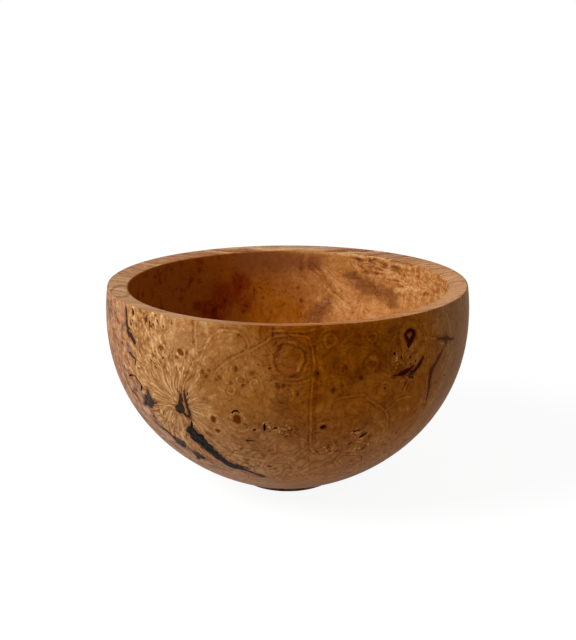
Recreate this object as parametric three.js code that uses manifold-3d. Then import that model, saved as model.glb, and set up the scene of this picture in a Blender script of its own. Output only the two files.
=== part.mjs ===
// A round-bottomed bowl turned from one block of burl, in millimetres, +Z up.
// The origin is the centre of the foot, on the table. The front of the bowl faces -Y.
// Natural cracks and pockets in the burl are filled with dark resin and turned flush with the wood,
// so each fill is a solid of its own that sits in its own pocket in the wall.
import * as THREE from "three";
import { mergeVertices } from "three/addons/utils/BufferGeometryUtils.js";
import Module from "manifold-3d";

const wasm = await Module();
wasm.setup();

// Driving dimensions
const HEIGHT = 87.4;
const RIM_RADIUS = 75; // the outer edge at the very top
const BELLY_RADIUS = 75.9; // the widest place, a little below the rim
const BELLY_DROP = 12.3; // how far below the top the widest place is
const BOWL_CURVE_DEPTH = 76.6; // from the widest place down to where the curve would close on the axis
const ROUND_POWER = 1.78; // powers of the superellipse that the bowl's curve follows,
const DEEP_POWER = 2.16; // across the bowl and down it

const RIM_WIDTH = 8.4;
const RIM_FALL = 1.3; // the rim slopes down towards the inside
const RIM_EASE = 0.7; // rounding of the rim's two corners
const HOLLOW_BELLY_DROP = 8;
const HOLLOW_BELLY_SPREAD = 0.3; // the hollow is this much wider below its mouth
const FLOOR_HEIGHT = 9.5; // the hollow's lowest point above the table

const FOOT_RADIUS = 19.6;
const FOOT_HEIGHT = 1.8;
const FOOT_EASE = 0.4;
const STANDING_RING = 4.8; // width of the flat ring that the bowl stands on
const RECESS_DEPTH = 1.2; // the hollow under the foot, inside the ring

const FILL_GAP = 0.3; // clearance between a fill and its pocket
const FILL_PROUD = 2; // how far a fill's blank stands out before it is turned flush
const FILL_ROOT = 0.45; // a fill's width at its root, as a share of its width at the surface
const FILL_LEAST_DEPTH = 1.6;
const FILL_MOST_DEPTH = 5;
const FILL_RAGGED = 0.16; // how much the edges wander, as a share of the width
const FILL_STEP = 1.3; // distance between two sections along a fill
const FILL_LEAST_STEPS = 6;

// Fineness
const ROUND_STEPS = 80;
const OUTSIDE_STEPS = 22;
const INSIDE_STEPS = 16;
const CORNER_STEPS = 2;
const RECESS_STEPS = 5;

// The fills. Each is made of one or more strokes that run together, and a stroke runs through stations of
// [degrees round the bowl from the front, + to the right, height above the table, width at the surface].
const FILLS = {
  long_crack_fill: [
    [
      [-30.9, 44.2, 1.2], [-31.4, 42.6, 3.2], [-32.3, 40.2, 5.6], [-32.5, 37.4, 6.0], [-31.4, 35.2, 4.9],
      [-29.2, 32.8, 4.0], [-27.2, 30.7, 3.6], [-25.6, 28.9, 3.8], [-24.4, 27.6, 2.2], [-22.6, 26.2, 2.0],
      [-20.8, 24.9, 2.8], [-19.2, 23.7, 2.4], [-17.4, 22.6, 1.0], [-14.0, 21.1, 0.8], [-11.6, 19.8, 1.7],
    ],
    [[-21.2, 25.9, 1.2], [-18.6, 24.9, 0.9], [-16.2, 24.2, 0.7]],
  ],
  fork_fill: [
    [
      [-33.3, 57.2, 0.7], [-33.3, 55.4, 1.6], [-33.5, 53.2, 1.9], [-33.9, 50.9, 3.2], [-33.0, 49.6, 3.2],
      [-31.6, 48.4, 1.6], [-30.9, 46.6, 1.0],
    ],
    [
      [-31.4, 58.7, 0.6], [-31.3, 56.4, 1.0], [-31.1, 53.4, 1.1], [-30.7, 50.6, 1.3], [-30.7, 48.0, 1.2],
      [-31.1, 46.5, 0.8],
    ],
  ],
  wedge_fill: [
    [
      [-48.2, 55.0, 0.6], [-47.8, 53.2, 1.7], [-47.9, 51.4, 3.0], [-48.5, 49.6, 4.8], [-49.4, 48.0, 6.2],
      [-50.2, 46.9, 4.4],
    ],
    [[-47.2, 49.8, 1.8], [-45.4, 49.9, 0.9], [-43.6, 50.0, 0.5]],
  ],
  lower_patch_fill: [
    [
      [-47.4, 35.9, 0.6], [-45.8, 34.6, 1.0], [-44.4, 33.2, 1.4], [-42.6, 32.2, 2.4], [-41.0, 31.3, 2.8],
      [-39.8, 30.9, 1.0],
    ],
  ],
  small_patch_fill: [
    [[-38.4, 27.9, 1.4], [-37.4, 27.2, 2.4], [-36.2, 26.6, 1.8], [-35.0, 26.0, 2.3], [-34.2, 25.6, 0.9]],
    [[-36.8, 26.6, 1.2], [-36.4, 25.4, 0.7]],
  ],
  left_crack_fill: [
    [
      [-56.1, 85.2, 0.6], [-55.6, 83.6, 0.9], [-55.1, 81.4, 0.7], [-55.0, 79.2, 0.9], [-54.9, 77.4, 0.9],
      [-53.7, 76.3, 1.1], [-52.2, 76.0, 1.2], [-51.2, 74.9, 1.9], [-50.7, 73.3, 1.3],
    ],
  ],
  knot_eye_fill: [
    [
      [37.3, 82.2, 1.0], [38.4, 81.2, 1.5], [38.9, 79.4, 1.6], [38.2, 77.8, 1.6], [37.4, 76.6, 1.5],
      [36.7, 75.2, 0.7],
    ],
    [[37.2, 82.0, 1.0], [36.1, 81.2, 1.3], [35.3, 80.1, 1.4], [36.2, 78.9, 1.5], [37.0, 77.6, 1.8]],
  ],
  slash_fill: [
    [
      [31.6, 65.4, 0.5], [33.4, 65.5, 1.2], [35.2, 65.6, 2.7], [36.8, 66.2, 1.9], [38.1, 67.0, 1.1],
      [38.8, 68.2, 0.7],
    ],
    [
      [37.4, 66.2, 0.9], [38.8, 65.4, 0.8], [40.4, 65.9, 1.2], [41.5, 67.2, 1.3], [42.3, 68.8, 1.4],
      [42.2, 70.1, 0.6],
    ],
  ],
  star_fill: [
    [
      [49.4, 75.3, 0.5], [51.2, 75.0, 1.2], [52.6, 74.4, 2.2], [54.2, 74.0, 1.3], [56.4, 73.3, 0.7],
      [58.8, 72.5, 0.4],
    ],
  ],
  right_crack_fill: [
    [
      [52.2, 70.0, 0.6], [51.0, 68.6, 0.8], [50.5, 67.0, 1.2], [49.5, 65.0, 1.3], [48.1, 63.9, 1.7],
      [47.3, 62.4, 1.3], [47.5, 59.0, 0.8], [47.9, 55.7, 0.7], [48.2, 53.0, 0.4],
    ],
  ],
};

const WOOD = { color: 0x9c6733, roughness: 0.5, metalness: 0 };
const RESIN = { color: 0x2b2a30, roughness: 0.3, metalness: 0 };

const radians = THREE.MathUtils.degToRad;

// Radius of a bowl curve at a depth below its widest place.
function curveRadius(depth, widest, fullDepth) {
  const share = Math.min(Math.max(depth / fullDepth, 0), 1);
  return widest * Math.pow(1 - Math.pow(share, DEEP_POWER), 1 / ROUND_POWER);
}

// Radius of the outside at a height above the table: the bowl's curve, drawn in a little towards the rim.
function outsideRadius(height) {
  const belowBelly = HEIGHT - BELLY_DROP - height;
  if (belowBelly >= 0) return curveRadius(belowBelly, BELLY_RADIUS, BOWL_CURVE_DEPTH);
  return BELLY_RADIUS - (BELLY_RADIUS - RIM_RADIUS) * Math.pow(belowBelly / BELLY_DROP, 2);
}

// Points down a superellipse from its widest place, evenly spread round it, as far as a least height.
function curvePoints(widest, top, fullDepth, leastHeight, steps) {
  const endShare = (top - leastHeight) / fullDepth;
  const endTurn = Math.asin(Math.pow(Math.min(endShare, 1), DEEP_POWER / 2));
  return Array.from({ length: steps + 1 }, (_, i) => {
    const depth = fullDepth * Math.pow(Math.sin((endTurn * i) / steps), 2 / DEEP_POWER);
    return new THREE.Vector2(curveRadius(depth, widest, fullDepth), top - depth);
  });
}

// A rounded corner at a point, between two neighbours.
function easedCorner(before, corner, after, ease) {
  const from = corner.clone().add(before.clone().sub(corner).setLength(ease));
  const to = corner.clone().add(after.clone().sub(corner).setLength(ease));
  return new THREE.QuadraticBezierCurve(from, corner, to).getPoints(CORNER_STEPS);
}

// The outside, from the foot's edge on the table up to the rim's outer edge.
function outsideProfile() {
  const belly = HEIGHT - BELLY_DROP;
  const footEdge = new THREE.Vector2(FOOT_RADIUS, 0);
  const footTop = new THREE.Vector2(outsideRadius(FOOT_HEIGHT), FOOT_HEIGHT);
  const inside = new THREE.Vector2(FOOT_RADIUS - STANDING_RING, 0);
  const foot = easedCorner(inside, footEdge, footTop, FOOT_EASE);
  const wall = curvePoints(BELLY_RADIUS, belly, BOWL_CURVE_DEPTH, FOOT_HEIGHT, OUTSIDE_STEPS).reverse();
  const shoulder = [0.3, 0.6, 0.85].map((share) => {
    const height = belly + BELLY_DROP * share;
    return new THREE.Vector2(outsideRadius(height), height);
  });
  return [...foot, ...wall, ...shoulder];
}

// The rim: a land that slopes down inwards, with both corners eased.
function rimProfile() {
  const outer = new THREE.Vector2(RIM_RADIUS, HEIGHT);
  const inner = new THREE.Vector2(RIM_RADIUS - RIM_WIDTH, HEIGHT - RIM_FALL);
  const below = new THREE.Vector2(RIM_RADIUS, HEIGHT - BELLY_DROP);
  const hollow = new THREE.Vector2(RIM_RADIUS - RIM_WIDTH, HEIGHT - BELLY_DROP);
  return [
    ...easedCorner(below, outer, inner, RIM_EASE),
    ...easedCorner(outer, inner, hollow, RIM_EASE),
  ];
}

// The hollow, from below its mouth down to the middle of its floor.
function hollowProfile() {
  const belly = HEIGHT - HOLLOW_BELLY_DROP;
  const widest = RIM_RADIUS - RIM_WIDTH + HOLLOW_BELLY_SPREAD;
  const points = curvePoints(widest, belly, belly - FLOOR_HEIGHT, FLOOR_HEIGHT, INSIDE_STEPS);
  points[points.length - 1].x = 0;
  return points;
}

// The recess under the foot, from its middle out to the standing ring.
function recessProfile() {
  const edge = FOOT_RADIUS - STANDING_RING;
  const dome = new THREE.QuadraticBezierCurve(
    new THREE.Vector2(0, RECESS_DEPTH),
    new THREE.Vector2(edge * 0.8, RECESS_DEPTH),
    new THREE.Vector2(edge, 0),
  );
  return dome.getPoints(RECESS_STEPS);
}

// A closed mesh as a solid for joining and cutting.
function solidOf(geometry) {
  const bare = geometry.clone();
  bare.deleteAttribute("normal");
  bare.deleteAttribute("uv");
  const merged = mergeVertices(bare, 1e-4);
  const triangles = [];
  for (let i = 0; i < merged.index.count; i += 3) {
    const [a, b, c] = [0, 1, 2].map((k) => merged.index.getX(i + k));
    if (a !== b && b !== c && c !== a) triangles.push(a, b, c);
  }
  return new wasm.Manifold(
    new wasm.Mesh({
      numProp: 3,
      vertProperties: merged.attributes.position.array,
      triVerts: Uint32Array.from(triangles),
    }),
  );
}

// A named mesh of a finished solid.
function meshOf(name, solid, finish) {
  const made = solid.getMesh();
  const geometry = new THREE.BufferGeometry();
  geometry.setAttribute("position", new THREE.BufferAttribute(Float32Array.from(made.vertProperties), 3));
  geometry.setIndex(new THREE.BufferAttribute(Uint32Array.from(made.triVerts), 1));
  geometry.computeVertexNormals();
  const mesh = new THREE.Mesh(geometry, new THREE.MeshStandardMaterial(finish));
  mesh.name = name;
  return mesh;
}

// A profile turned about the Z axis.
function turned(profile) {
  return solidOf(new THREE.LatheGeometry(profile, ROUND_STEPS).rotateX(Math.PI / 2));
}

// A point on the outside and the direction that faces out of the wood there.
function onOutside(degrees, height) {
  const turn = radians(degrees);
  const radius = outsideRadius(height);
  const slope = (outsideRadius(height + 0.1) - outsideRadius(height - 0.1)) / 0.2;
  const point = new THREE.Vector3(radius * Math.sin(turn), -radius * Math.cos(turn), height);
  const out = new THREE.Vector3(Math.sin(turn), -Math.cos(turn), -slope).normalize();
  return { point, out };
}

// Sections along a stroke: a point on the outside, the direction out of the wood and the width there.
function sectionsAlong(stations) {
  const path = new THREE.CatmullRomCurve3(stations.map((station) => new THREE.Vector3(...station)));
  const points = stations.map(([degrees, height]) => onOutside(degrees, height).point);
  const length = points.slice(1).reduce((sum, point, i) => sum + point.distanceTo(points[i]), 0);
  const steps = Math.max(FILL_LEAST_STEPS, Math.round(length / FILL_STEP));
  return Array.from({ length: steps + 1 }, (_, i) => {
    const at = path.getPoint(i / steps);
    return { ...onOutside(at.x, at.y), width: at.z };
  });
}

// Half of a fill's width on one side, which wanders a little from section to section.
function raggedHalf(width, wave) {
  return (width / 2) * (1 + FILL_RAGGED * Math.sin(wave));
}

// The four corners of one section: two stand proud of the wall and two lie at the root.
// The spare is added all round, also past the two ends of the stroke.
function sectionCorners(sections, i, spare) {
  const last = sections.length - 1;
  const { point, out, width } = sections[i];
  const ahead = sections[Math.min(i + 1, last)].point;
  const along = ahead.clone().sub(sections[Math.max(i - 1, 0)].point).normalize();
  const side = new THREE.Vector3().crossVectors(out, along).normalize();
  const centre = point.clone();
  if (i === 0) centre.addScaledVector(along, -spare);
  if (i === last) centre.addScaledVector(along, spare);
  const depth = THREE.MathUtils.clamp(width, FILL_LEAST_DEPTH, FILL_MOST_DEPTH) + spare;
  const left = raggedHalf(width, 2.3 * i + width);
  const right = raggedHalf(width, 1.7 * i + 2 * width + 1);
  return [
    [-left - spare, FILL_PROUD],
    [right + spare, FILL_PROUD],
    [right * FILL_ROOT + spare, -depth],
    [-left * FILL_ROOT - spare, -depth],
  ].map(([across, outward]) => centre.clone().addScaledVector(side, across).addScaledVector(out, outward));
}

// A closed solid through rings of four corners.
function lofted(rings) {
  const faces = [];
  const quad = (a, b, c, d) => faces.push(a, b, c, a, c, d);
  const last = 4 * (rings.length - 1);
  for (let here = 0; here < last; here += 4) {
    for (let k = 0; k < 4; k++) {
      const next = (k + 1) % 4;
      quad(here + next, here + k, here + 4 + k, here + 4 + next);
    }
  }
  quad(0, 1, 2, 3);
  quad(last + 3, last + 2, last + 1, last);
  const geometry = new THREE.BufferGeometry().setFromPoints(rings.flat());
  geometry.setIndex(faces);
  return solidOf(geometry);
}

// The wedge along one stroke, from outside the wall down to its root.
function wedge(stations, spare) {
  const sections = sectionsAlong(stations);
  return lofted(sections.map((_, i) => sectionCorners(sections, i, spare)));
}

// All the strokes of one fill, joined.
function wedges(strokes, spare) {
  return wasm.Manifold.union(strokes.map((stations) => wedge(stations, spare)));
}

const blank = turned([new THREE.Vector2(0, 0), ...outsideProfile(), new THREE.Vector2(RIM_RADIUS, HEIGHT),
  new THREE.Vector2(0, HEIGHT)]);
let bowl = turned([...recessProfile(), ...outsideProfile(), ...rimProfile(), ...hollowProfile()]);

const group = new THREE.Group();
for (const [name, strokes] of Object.entries(FILLS)) {
  bowl = bowl.subtract(wedges(strokes, FILL_GAP));
  group.add(meshOf(name, wedges(strokes, 0).intersect(blank), RESIN));
}
group.add(meshOf("bowl_body", bowl, WOOD));

export default group;
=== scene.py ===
# %% [markdown]
# # A burl wood bowl
# The bowl is turned on a lathe from one block of burl, and the cracks that nature left in it are filled
# with dark resin. The model follows the same order: turn the bowl, cut the cracks and the small open
# pits out of it, lay the fills in, and then give the wood its figure. Everything is in metres in the end,
# but a turner thinks in millimetres, so the sizes of the bowl are in millimetres, multiplied by MM.

# %% Open the frame
import math
import random
from functools import reduce

import bpy
import numpy as np
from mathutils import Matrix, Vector


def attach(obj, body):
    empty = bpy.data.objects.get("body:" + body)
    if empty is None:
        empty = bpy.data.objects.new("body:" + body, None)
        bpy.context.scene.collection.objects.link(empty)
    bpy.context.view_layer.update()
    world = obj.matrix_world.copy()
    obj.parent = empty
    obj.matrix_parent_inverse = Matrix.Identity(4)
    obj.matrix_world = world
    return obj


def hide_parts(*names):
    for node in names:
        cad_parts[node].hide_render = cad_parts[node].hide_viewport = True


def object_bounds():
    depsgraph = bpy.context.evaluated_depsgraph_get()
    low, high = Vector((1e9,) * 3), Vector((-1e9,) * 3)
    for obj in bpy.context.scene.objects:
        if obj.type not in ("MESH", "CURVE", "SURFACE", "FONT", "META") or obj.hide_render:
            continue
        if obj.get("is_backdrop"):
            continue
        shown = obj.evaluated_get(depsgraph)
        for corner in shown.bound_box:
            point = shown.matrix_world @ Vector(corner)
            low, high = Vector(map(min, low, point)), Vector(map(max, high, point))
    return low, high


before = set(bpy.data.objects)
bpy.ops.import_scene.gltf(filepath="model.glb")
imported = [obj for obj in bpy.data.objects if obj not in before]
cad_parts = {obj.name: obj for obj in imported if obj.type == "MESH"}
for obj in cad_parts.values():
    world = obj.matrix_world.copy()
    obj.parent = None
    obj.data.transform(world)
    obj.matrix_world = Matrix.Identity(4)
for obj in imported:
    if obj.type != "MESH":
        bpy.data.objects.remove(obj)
cad_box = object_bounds()
MM = 0.001
print("the solid bowl measures", [round((hi - lo) / MM, 1) for lo, hi in zip(*cad_box)], "mm")

# %% [markdown]
# ## Camera
# The rim is an ellipse in the photograph, and how flat it is gives the height of the eye: the camera
# looks down by a little under fifteen degrees from half a metre away. It comes first, so that each later
# step can be looked at from the same place.

# %% Set up the camera
CAMERA_PLACE = (0.15 * MM, -490.1 * MM, 198.45 * MM)
CAMERA_DROP = 14.70
LENS = 67.25

camera_data = bpy.data.cameras.new("camera")
camera_data.lens = LENS
camera = bpy.data.objects.new("camera", camera_data)
camera.location = CAMERA_PLACE
camera.rotation_euler = (math.radians(90 - CAMERA_DROP), 0, 0)
bpy.context.collection.objects.link(camera)
bpy.context.scene.camera = camera
print("the camera looks down by", CAMERA_DROP, "degrees")

# %% [markdown]
# ## The turner's template
# A turned bowl is one outline carried round an axis. Its outside is close to a superellipse, which is
# fuller than a circle at the shoulder and flatter underneath. The hollow follows a curve of the same
# family inside it, and the rim slopes down inwards so that light catches its outer edge. The
# rim's corner is rounded less here than on the solid, so it is set a hair lower and the bowl keeps
# its height.

# %% Set the sizes of the bowl
HEIGHT = 87.4
RIM_RADIUS = 75.0
BELLY_RADIUS = 75.9
BELLY_DROP = 12.3
CURVE_DEPTH = 76.6
ROUND_POWER = 1.78
DEEP_POWER = 2.16
RIM_WIDTH = 8.4
RIM_FALL = 1.3
RIM_EASE = 0.4
RIM_SET = 0.05
HOLLOW_DROP = 8.0
HOLLOW_SWELL = 0.3
HOLLOW_RADIUS = RIM_RADIUS - RIM_WIDTH + HOLLOW_SWELL
FLOOR_HEIGHT = 9.5
FOOT_RADIUS = 19.6
FOOT_HEIGHT = 1.8
FOOT_EASE = 0.4
STANDING_RING = 4.8
RECESS_DEPTH = 1.2
WALL_POINTS = 104
HOLLOW_POINTS = 60
SHOULDER_POINTS = 12
SHOULDER_FROM, SHOULDER_TO = 0.08, 0.93
LAND_SHARES = (0.25, 0.42, 0.58, 0.75)
RECESS_POINTS = 8
print("to be turned:", 2 * BELLY_RADIUS, "mm wide and", HEIGHT, "mm high")

# %% [markdown]
# ### The curves
# The curves are formulas and not points read off, because every mark on the bowl has to be put exactly on
# its wall later. Their points lie closer where the curve bends more, and corners are rounded a little.


# %% Write the template as formulas
def curve_radius(depth, widest, full_depth):
    share = np.clip(np.asarray(depth, float) / full_depth, 0, 1)
    return widest * np.power(1 - np.power(share, DEEP_POWER), 1 / ROUND_POWER)


def outside_radius(height):
    below = HEIGHT - BELLY_DROP - np.asarray(height, float)
    shoulder = BELLY_RADIUS - (BELLY_RADIUS - RIM_RADIUS) * (below / BELLY_DROP) ** 2
    return np.where(below > 0, curve_radius(below, BELLY_RADIUS, CURVE_DEPTH), shoulder)


def hollow_radius(height):
    top = HEIGHT - HOLLOW_DROP
    return curve_radius(top - np.asarray(height, float), HOLLOW_RADIUS, top - FLOOR_HEIGHT)


def curve_points(widest, top, full_depth, least_height, count):
    end = math.asin(min((top - least_height) / full_depth, 1) ** (DEEP_POWER / 2))
    depth = full_depth * np.sin(np.linspace(0, end, count)) ** (2 / DEEP_POWER)
    return [(float(r), float(top - d)) for r, d in zip(curve_radius(depth, widest, full_depth), depth)]


def eased(before, corner, after, ease, count=4):
    """A corner rounded by a small curve between its two sides."""
    corner = Vector(corner)
    start = corner + (Vector(before) - corner).normalized() * ease
    end = corner + (Vector(after) - corner).normalized() * ease
    rounded = []
    for step in range(count + 1):
        t = step / count
        rounded.append(tuple(start * (1 - t) ** 2 + corner * 2 * t * (1 - t) + end * t ** 2))
    return rounded


def template():
    """The whole outline as (radius, height), from under the foot, up the outside and down the hollow."""
    belly = HEIGHT - BELLY_DROP
    ring = FOOT_RADIUS - STANDING_RING
    recess = [(ring * t, RECESS_DEPTH * (1 - t ** 3)) for t in np.linspace(0, 1, RECESS_POINTS)]
    foot_top = (float(outside_radius(FOOT_HEIGHT)), FOOT_HEIGHT)
    foot = eased((ring, 0), (FOOT_RADIUS, 0), foot_top, FOOT_EASE)
    wall = curve_points(BELLY_RADIUS, belly, CURVE_DEPTH, FOOT_HEIGHT, WALL_POINTS)[::-1]
    shoulder = [(float(outside_radius(belly + BELLY_DROP * t)), belly + BELLY_DROP * t)
                for t in np.linspace(SHOULDER_FROM, SHOULDER_TO, SHOULDER_POINTS)]
    outer, inner = (RIM_RADIUS, HEIGHT - RIM_SET), (RIM_RADIUS - RIM_WIDTH, HEIGHT - RIM_FALL)
    rim = eased((RIM_RADIUS, belly), outer, inner, RIM_EASE)
    land = [tuple(Vector(outer).lerp(Vector(inner), t)) for t in LAND_SHARES]
    lip = eased(outer, inner, (inner[0], belly), RIM_EASE)
    top = HEIGHT - HOLLOW_DROP
    hollow = curve_points(HOLLOW_RADIUS, top, top - FLOOR_HEIGHT, FLOOR_HEIGHT, HOLLOW_POINTS)
    hollow[-1] = (0.0, FLOOR_HEIGHT)
    return recess + foot + wall + shoulder + rim + land + lip + hollow


outline = template()
print(len(outline), "points on the template")

# %% [markdown]
# ## Turning the bowl
# A lathe turns the wood against one edge. Here the template is drawn by extruding a single point along
# it, and the Screw modifier carries it round the axis, which is quicker than Spin when there are
# hundreds of steps. The front half is turned in finer steps than the back, since the fine figure that
# the photograph shows sits there, and the two halves are then welded into one closed wall.

# %% Turn the bowl
FRONT_STEPS = 270
BACK_STEPS = 150
WELD = 0.002 * MM


def only(piece):
    """Makes this piece the one that operators act on."""
    bpy.ops.object.select_all(action="DESELECT")
    piece.select_set(True)
    bpy.context.view_layer.objects.active = piece


def joined(pieces, name):
    only(pieces[0])
    for piece in pieces[1:]:
        piece.select_set(True)
    if len(pieces) > 1:
        bpy.ops.object.join()
    pieces[0].name = pieces[0].data.name = name
    return pieces[0]


def applied(piece, kind, **settings):
    """Adds a modifier to a piece, sets it up and applies it."""
    only(piece)
    bpy.ops.object.modifier_add(type=kind)
    modifier = piece.modifiers[-1]
    for name, value in settings.items():
        setattr(modifier, name, value)
    bpy.ops.object.modifier_apply(modifier=modifier.name)
    return piece


def half_turn(outline, side, steps):
    """Half of the bowl, turned from a template that stands to the left (-1) or to the right (1)."""
    bpy.ops.object.select_all(action="DESELECT")
    bpy.ops.mesh.primitive_plane_add(size=MM)
    half = bpy.context.active_object
    places = [Vector((side * radius * MM, 0, height * MM)) for radius, height in outline]
    bpy.ops.object.mode_set(mode="EDIT")
    bpy.ops.mesh.select_all(action="SELECT")
    bpy.ops.mesh.merge(type="CENTER")
    bpy.ops.transform.translate(value=places[0])
    for before, after in zip(places, places[1:]):
        bpy.ops.mesh.extrude_region_move(TRANSFORM_OT_translate={"value": after - before})
    bpy.ops.object.mode_set(mode="OBJECT")
    return applied(half, "SCREW", axis="Z", angle=math.pi, steps=steps, render_steps=steps)


def turned_piece(name, outline):
    piece = joined([half_turn(outline, -1, FRONT_STEPS), half_turn(outline, 1, BACK_STEPS)], name)
    bpy.ops.object.mode_set(mode="EDIT")
    bpy.ops.mesh.select_all(action="SELECT")
    bpy.ops.mesh.remove_doubles(threshold=WELD)
    bpy.ops.mesh.normals_make_consistent(inside=False)
    bpy.ops.object.mode_set(mode="OBJECT")
    return piece


bowl = turned_piece("burl_bowl", outline)
print("turned a mesh of", len(bowl.data.polygons), "faces")

# %% [markdown]
# ## Places on the bowl
# Every mark on the outside is given as a turn in degrees from the front, positive to the right, and a
# height in millimetres above the table. That is how a turner would mark them out, with the bowl on an
# indexing head and a height gauge beside it.


# %% Find a place on the outside
SLOPE_STEP = 0.1


def on_outside(turn, height):
    """The point on the outside and the direction out of the wood there, both in millimetres."""
    radius = float(outside_radius(height))
    above, below = outside_radius(height + SLOPE_STEP), outside_radius(height - SLOPE_STEP)
    slope = float(above - below) / (2 * SLOPE_STEP)
    angle = math.radians(turn)
    point = Vector((radius * math.sin(angle), -radius * math.cos(angle), height))
    out = Vector((math.sin(angle), -math.cos(angle), -slope)).normalized()
    return point, out


def along_surface(out):
    """The level and the upward direction along the surface, where it faces this way."""
    level = Vector((0, 0, 1)).cross(out).normalized()
    return level, out.cross(level)


def smooth_path(stations, step):
    """Stations joined by a smooth curve and sampled about every step millimetres."""
    stations = np.array(stations, float)
    padded = np.vstack([2 * stations[0] - stations[1], stations, 2 * stations[-1] - stations[-2]])
    samples = []
    for a, b, c, d in zip(padded, padded[1:], padded[2:], padded[3:]):
        length = (on_outside(*b[:2])[0] - on_outside(*c[:2])[0]).length
        count = max(1, round(length / step))
        for t in np.arange(count) / count:
            samples.append(0.5 * (2 * b + (c - a) * t + (2 * a - 5 * b + 4 * c - d) * t ** 2
                                  + (3 * b - 3 * c + d - a) * t ** 3))
    return np.array(samples + [stations[-1]])


print("halfway up the front:", [round(value, 1) for value in on_outside(0, HEIGHT / 2)[0]])


# %% [markdown]
# ## Cracks and their fills
# The dark shapes are natural cracks and bark pockets that were filled with slate-black resin and turned
# flush. Each is drawn as one or more strokes down its middle, with a width at each station, which keeps
# its shape easy to correct against the photograph.

# %% Mark out the cracks
# Each station is (turn, height, width).
CRACKS = {
    "long_crack_fill": [
        [(-32.3, 43.3, 1.6), (-32.5, 41.5, 5.1), (-32.0, 39.1, 7.0), (-30.9, 36.7, 6.2), (-29.4, 34.3, 5.5),
         (-27.9, 32.0, 5.0), (-26.5, 29.4, 4.8), (-25.1, 27.6, 3.2), (-23.5, 25.8, 4.0), (-21.7, 24.7, 5.0),
         (-19.8, 24.0, 3.8), (-18.0, 23.2, 1.7), (-15.1, 21.7, 1.1), (-12.0, 20.3, 1.4), (-10.9, 19.5, 2.2),
         (-10.1, 19.1, 1.0)],
        [(-20.4, 25.8, 1.5), (-17.8, 24.9, 1.3), (-15.8, 24.6, 0.8)],
    ],
    "fork_fill": [
        [(-32.9, 57.8, 0.6), (-33.1, 56.5, 1.4), (-33.2, 54.8, 1.7), (-33.7, 52.9, 2.5), (-34.3, 51.0, 3.8),
         (-34.4, 49.7, 4.2), (-34.2, 48.6, 1.8)],
        [(-31.4, 59.5, 0.5), (-31.5, 57.7, 0.8), (-31.5, 55.9, 1.2), (-31.4, 54.0, 1.4), (-31.3, 52.3, 1.1),
         (-31.1, 50.5, 1.3), (-31.2, 48.9, 1.2), (-31.6, 47.8, 0.6)],
        [(-34.0, 49.9, 1.2), (-33.0, 48.7, 1.3), (-32.2, 48.0, 1.2), (-31.3, 48.2, 0.9)],
    ],
    "wedge_fill": [
        [(-47.2, 55.1, 0.7), (-47.6, 53.2, 2.4), (-48.0, 51.3, 4.2), (-48.9, 49.5, 5.4), (-49.8, 47.9, 4.4),
         (-50.4, 47.2, 2.0)],
        [(-53.1, 46.6, 0.9), (-50.1, 48.3, 2.4), (-47.2, 49.6, 2.4), (-44.7, 49.9, 0.8)],
    ],
    "lower_patch_fill": [
        [(-48.4, 37.8, 0.8), (-47.0, 36.8, 1.1), (-45.6, 35.6, 1.2), (-44.6, 34.6, 1.6), (-43.4, 33.2, 4.2),
         (-42.3, 31.9, 6.2), (-41.4, 30.9, 5.0), (-40.8, 30.2, 2.4)],
    ],
    "small_patch_fill": [
        [(-38.7, 28.6, 1.8), (-37.5, 27.6, 4.6), (-36.5, 26.7, 4.2), (-35.2, 26.2, 3.2), (-34.0, 25.9, 1.2)],
        [(-36.9, 26.8, 1.8), (-38.4, 25.2, 1.4), (-40.0, 23.9, 0.7)],
    ],
    "left_crack_fill": [
        [(-56.3, 86.0, 0.7), (-55.7, 84.2, 1.4), (-55.3, 82.0, 1.0), (-55.2, 80.6, 1.3), (-55.0, 79.4, 1.9),
         (-54.3, 78.2, 1.4), (-54.3, 77.0, 2.2), (-52.8, 75.9, 2.4), (-51.7, 75.0, 2.0), (-50.9, 73.8, 2.4),
         (-50.5, 72.8, 0.9)],
    ],
    "knot_eye_fill": [
        [(35.6, 81.0, 1.4), (36.3, 81.8, 1.5), (37.2, 81.9, 1.6), (38.0, 81.4, 1.8), (38.5, 80.4, 2.0),
         (38.4, 79.2, 2.2), (37.8, 78.3, 2.2), (36.9, 77.4, 2.2), (36.6, 76.2, 1.7), (36.5, 75.0, 0.7)],
        [(35.6, 81.0, 1.3), (35.3, 80.2, 1.4), (35.9, 79.0, 1.6), (36.6, 77.8, 1.8)],
    ],
    "slash_fill": [
        [(31.7, 65.1, 0.5), (33.2, 65.2, 0.9), (34.6, 65.4, 1.7), (36.1, 65.9, 2.1), (37.2, 66.4, 1.5),
         (38.1, 67.0, 0.9), (38.9, 67.9, 0.5)],
        [(37.6, 65.6, 0.7), (39.0, 65.4, 1.2), (40.4, 66.6, 1.4), (41.5, 67.9, 1.6), (42.4, 69.5, 1.2),
         (42.5, 70.6, 0.6)],
    ],
    "star_fill": [
        [(48.8, 75.8, 0.4), (50.3, 75.3, 0.7), (52.0, 74.7, 1.3), (53.8, 74.1, 2.1), (55.0, 73.8, 1.3),
         (57.0, 73.1, 0.7), (59.3, 72.4, 0.3)],
        [(54.0, 75.6, 0.5), (54.0, 74.4, 1.3), (54.0, 73.2, 1.5), (53.9, 72.2, 0.5)],
    ],
    "right_crack_fill": [
        [(52.1, 70.1, 0.7), (51.1, 69.0, 1.0), (50.2, 67.4, 1.5), (49.2, 65.7, 1.4), (48.1, 64.4, 1.8),
         (47.4, 63.0, 1.8), (47.3, 60.9, 1.4), (47.4, 58.3, 1.3), (47.8, 55.7, 1.1), (48.1, 53.0, 0.7),
         (48.4, 50.3, 0.5)],
    ],
}
print(len(CRACKS), "cracks marked out")

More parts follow.
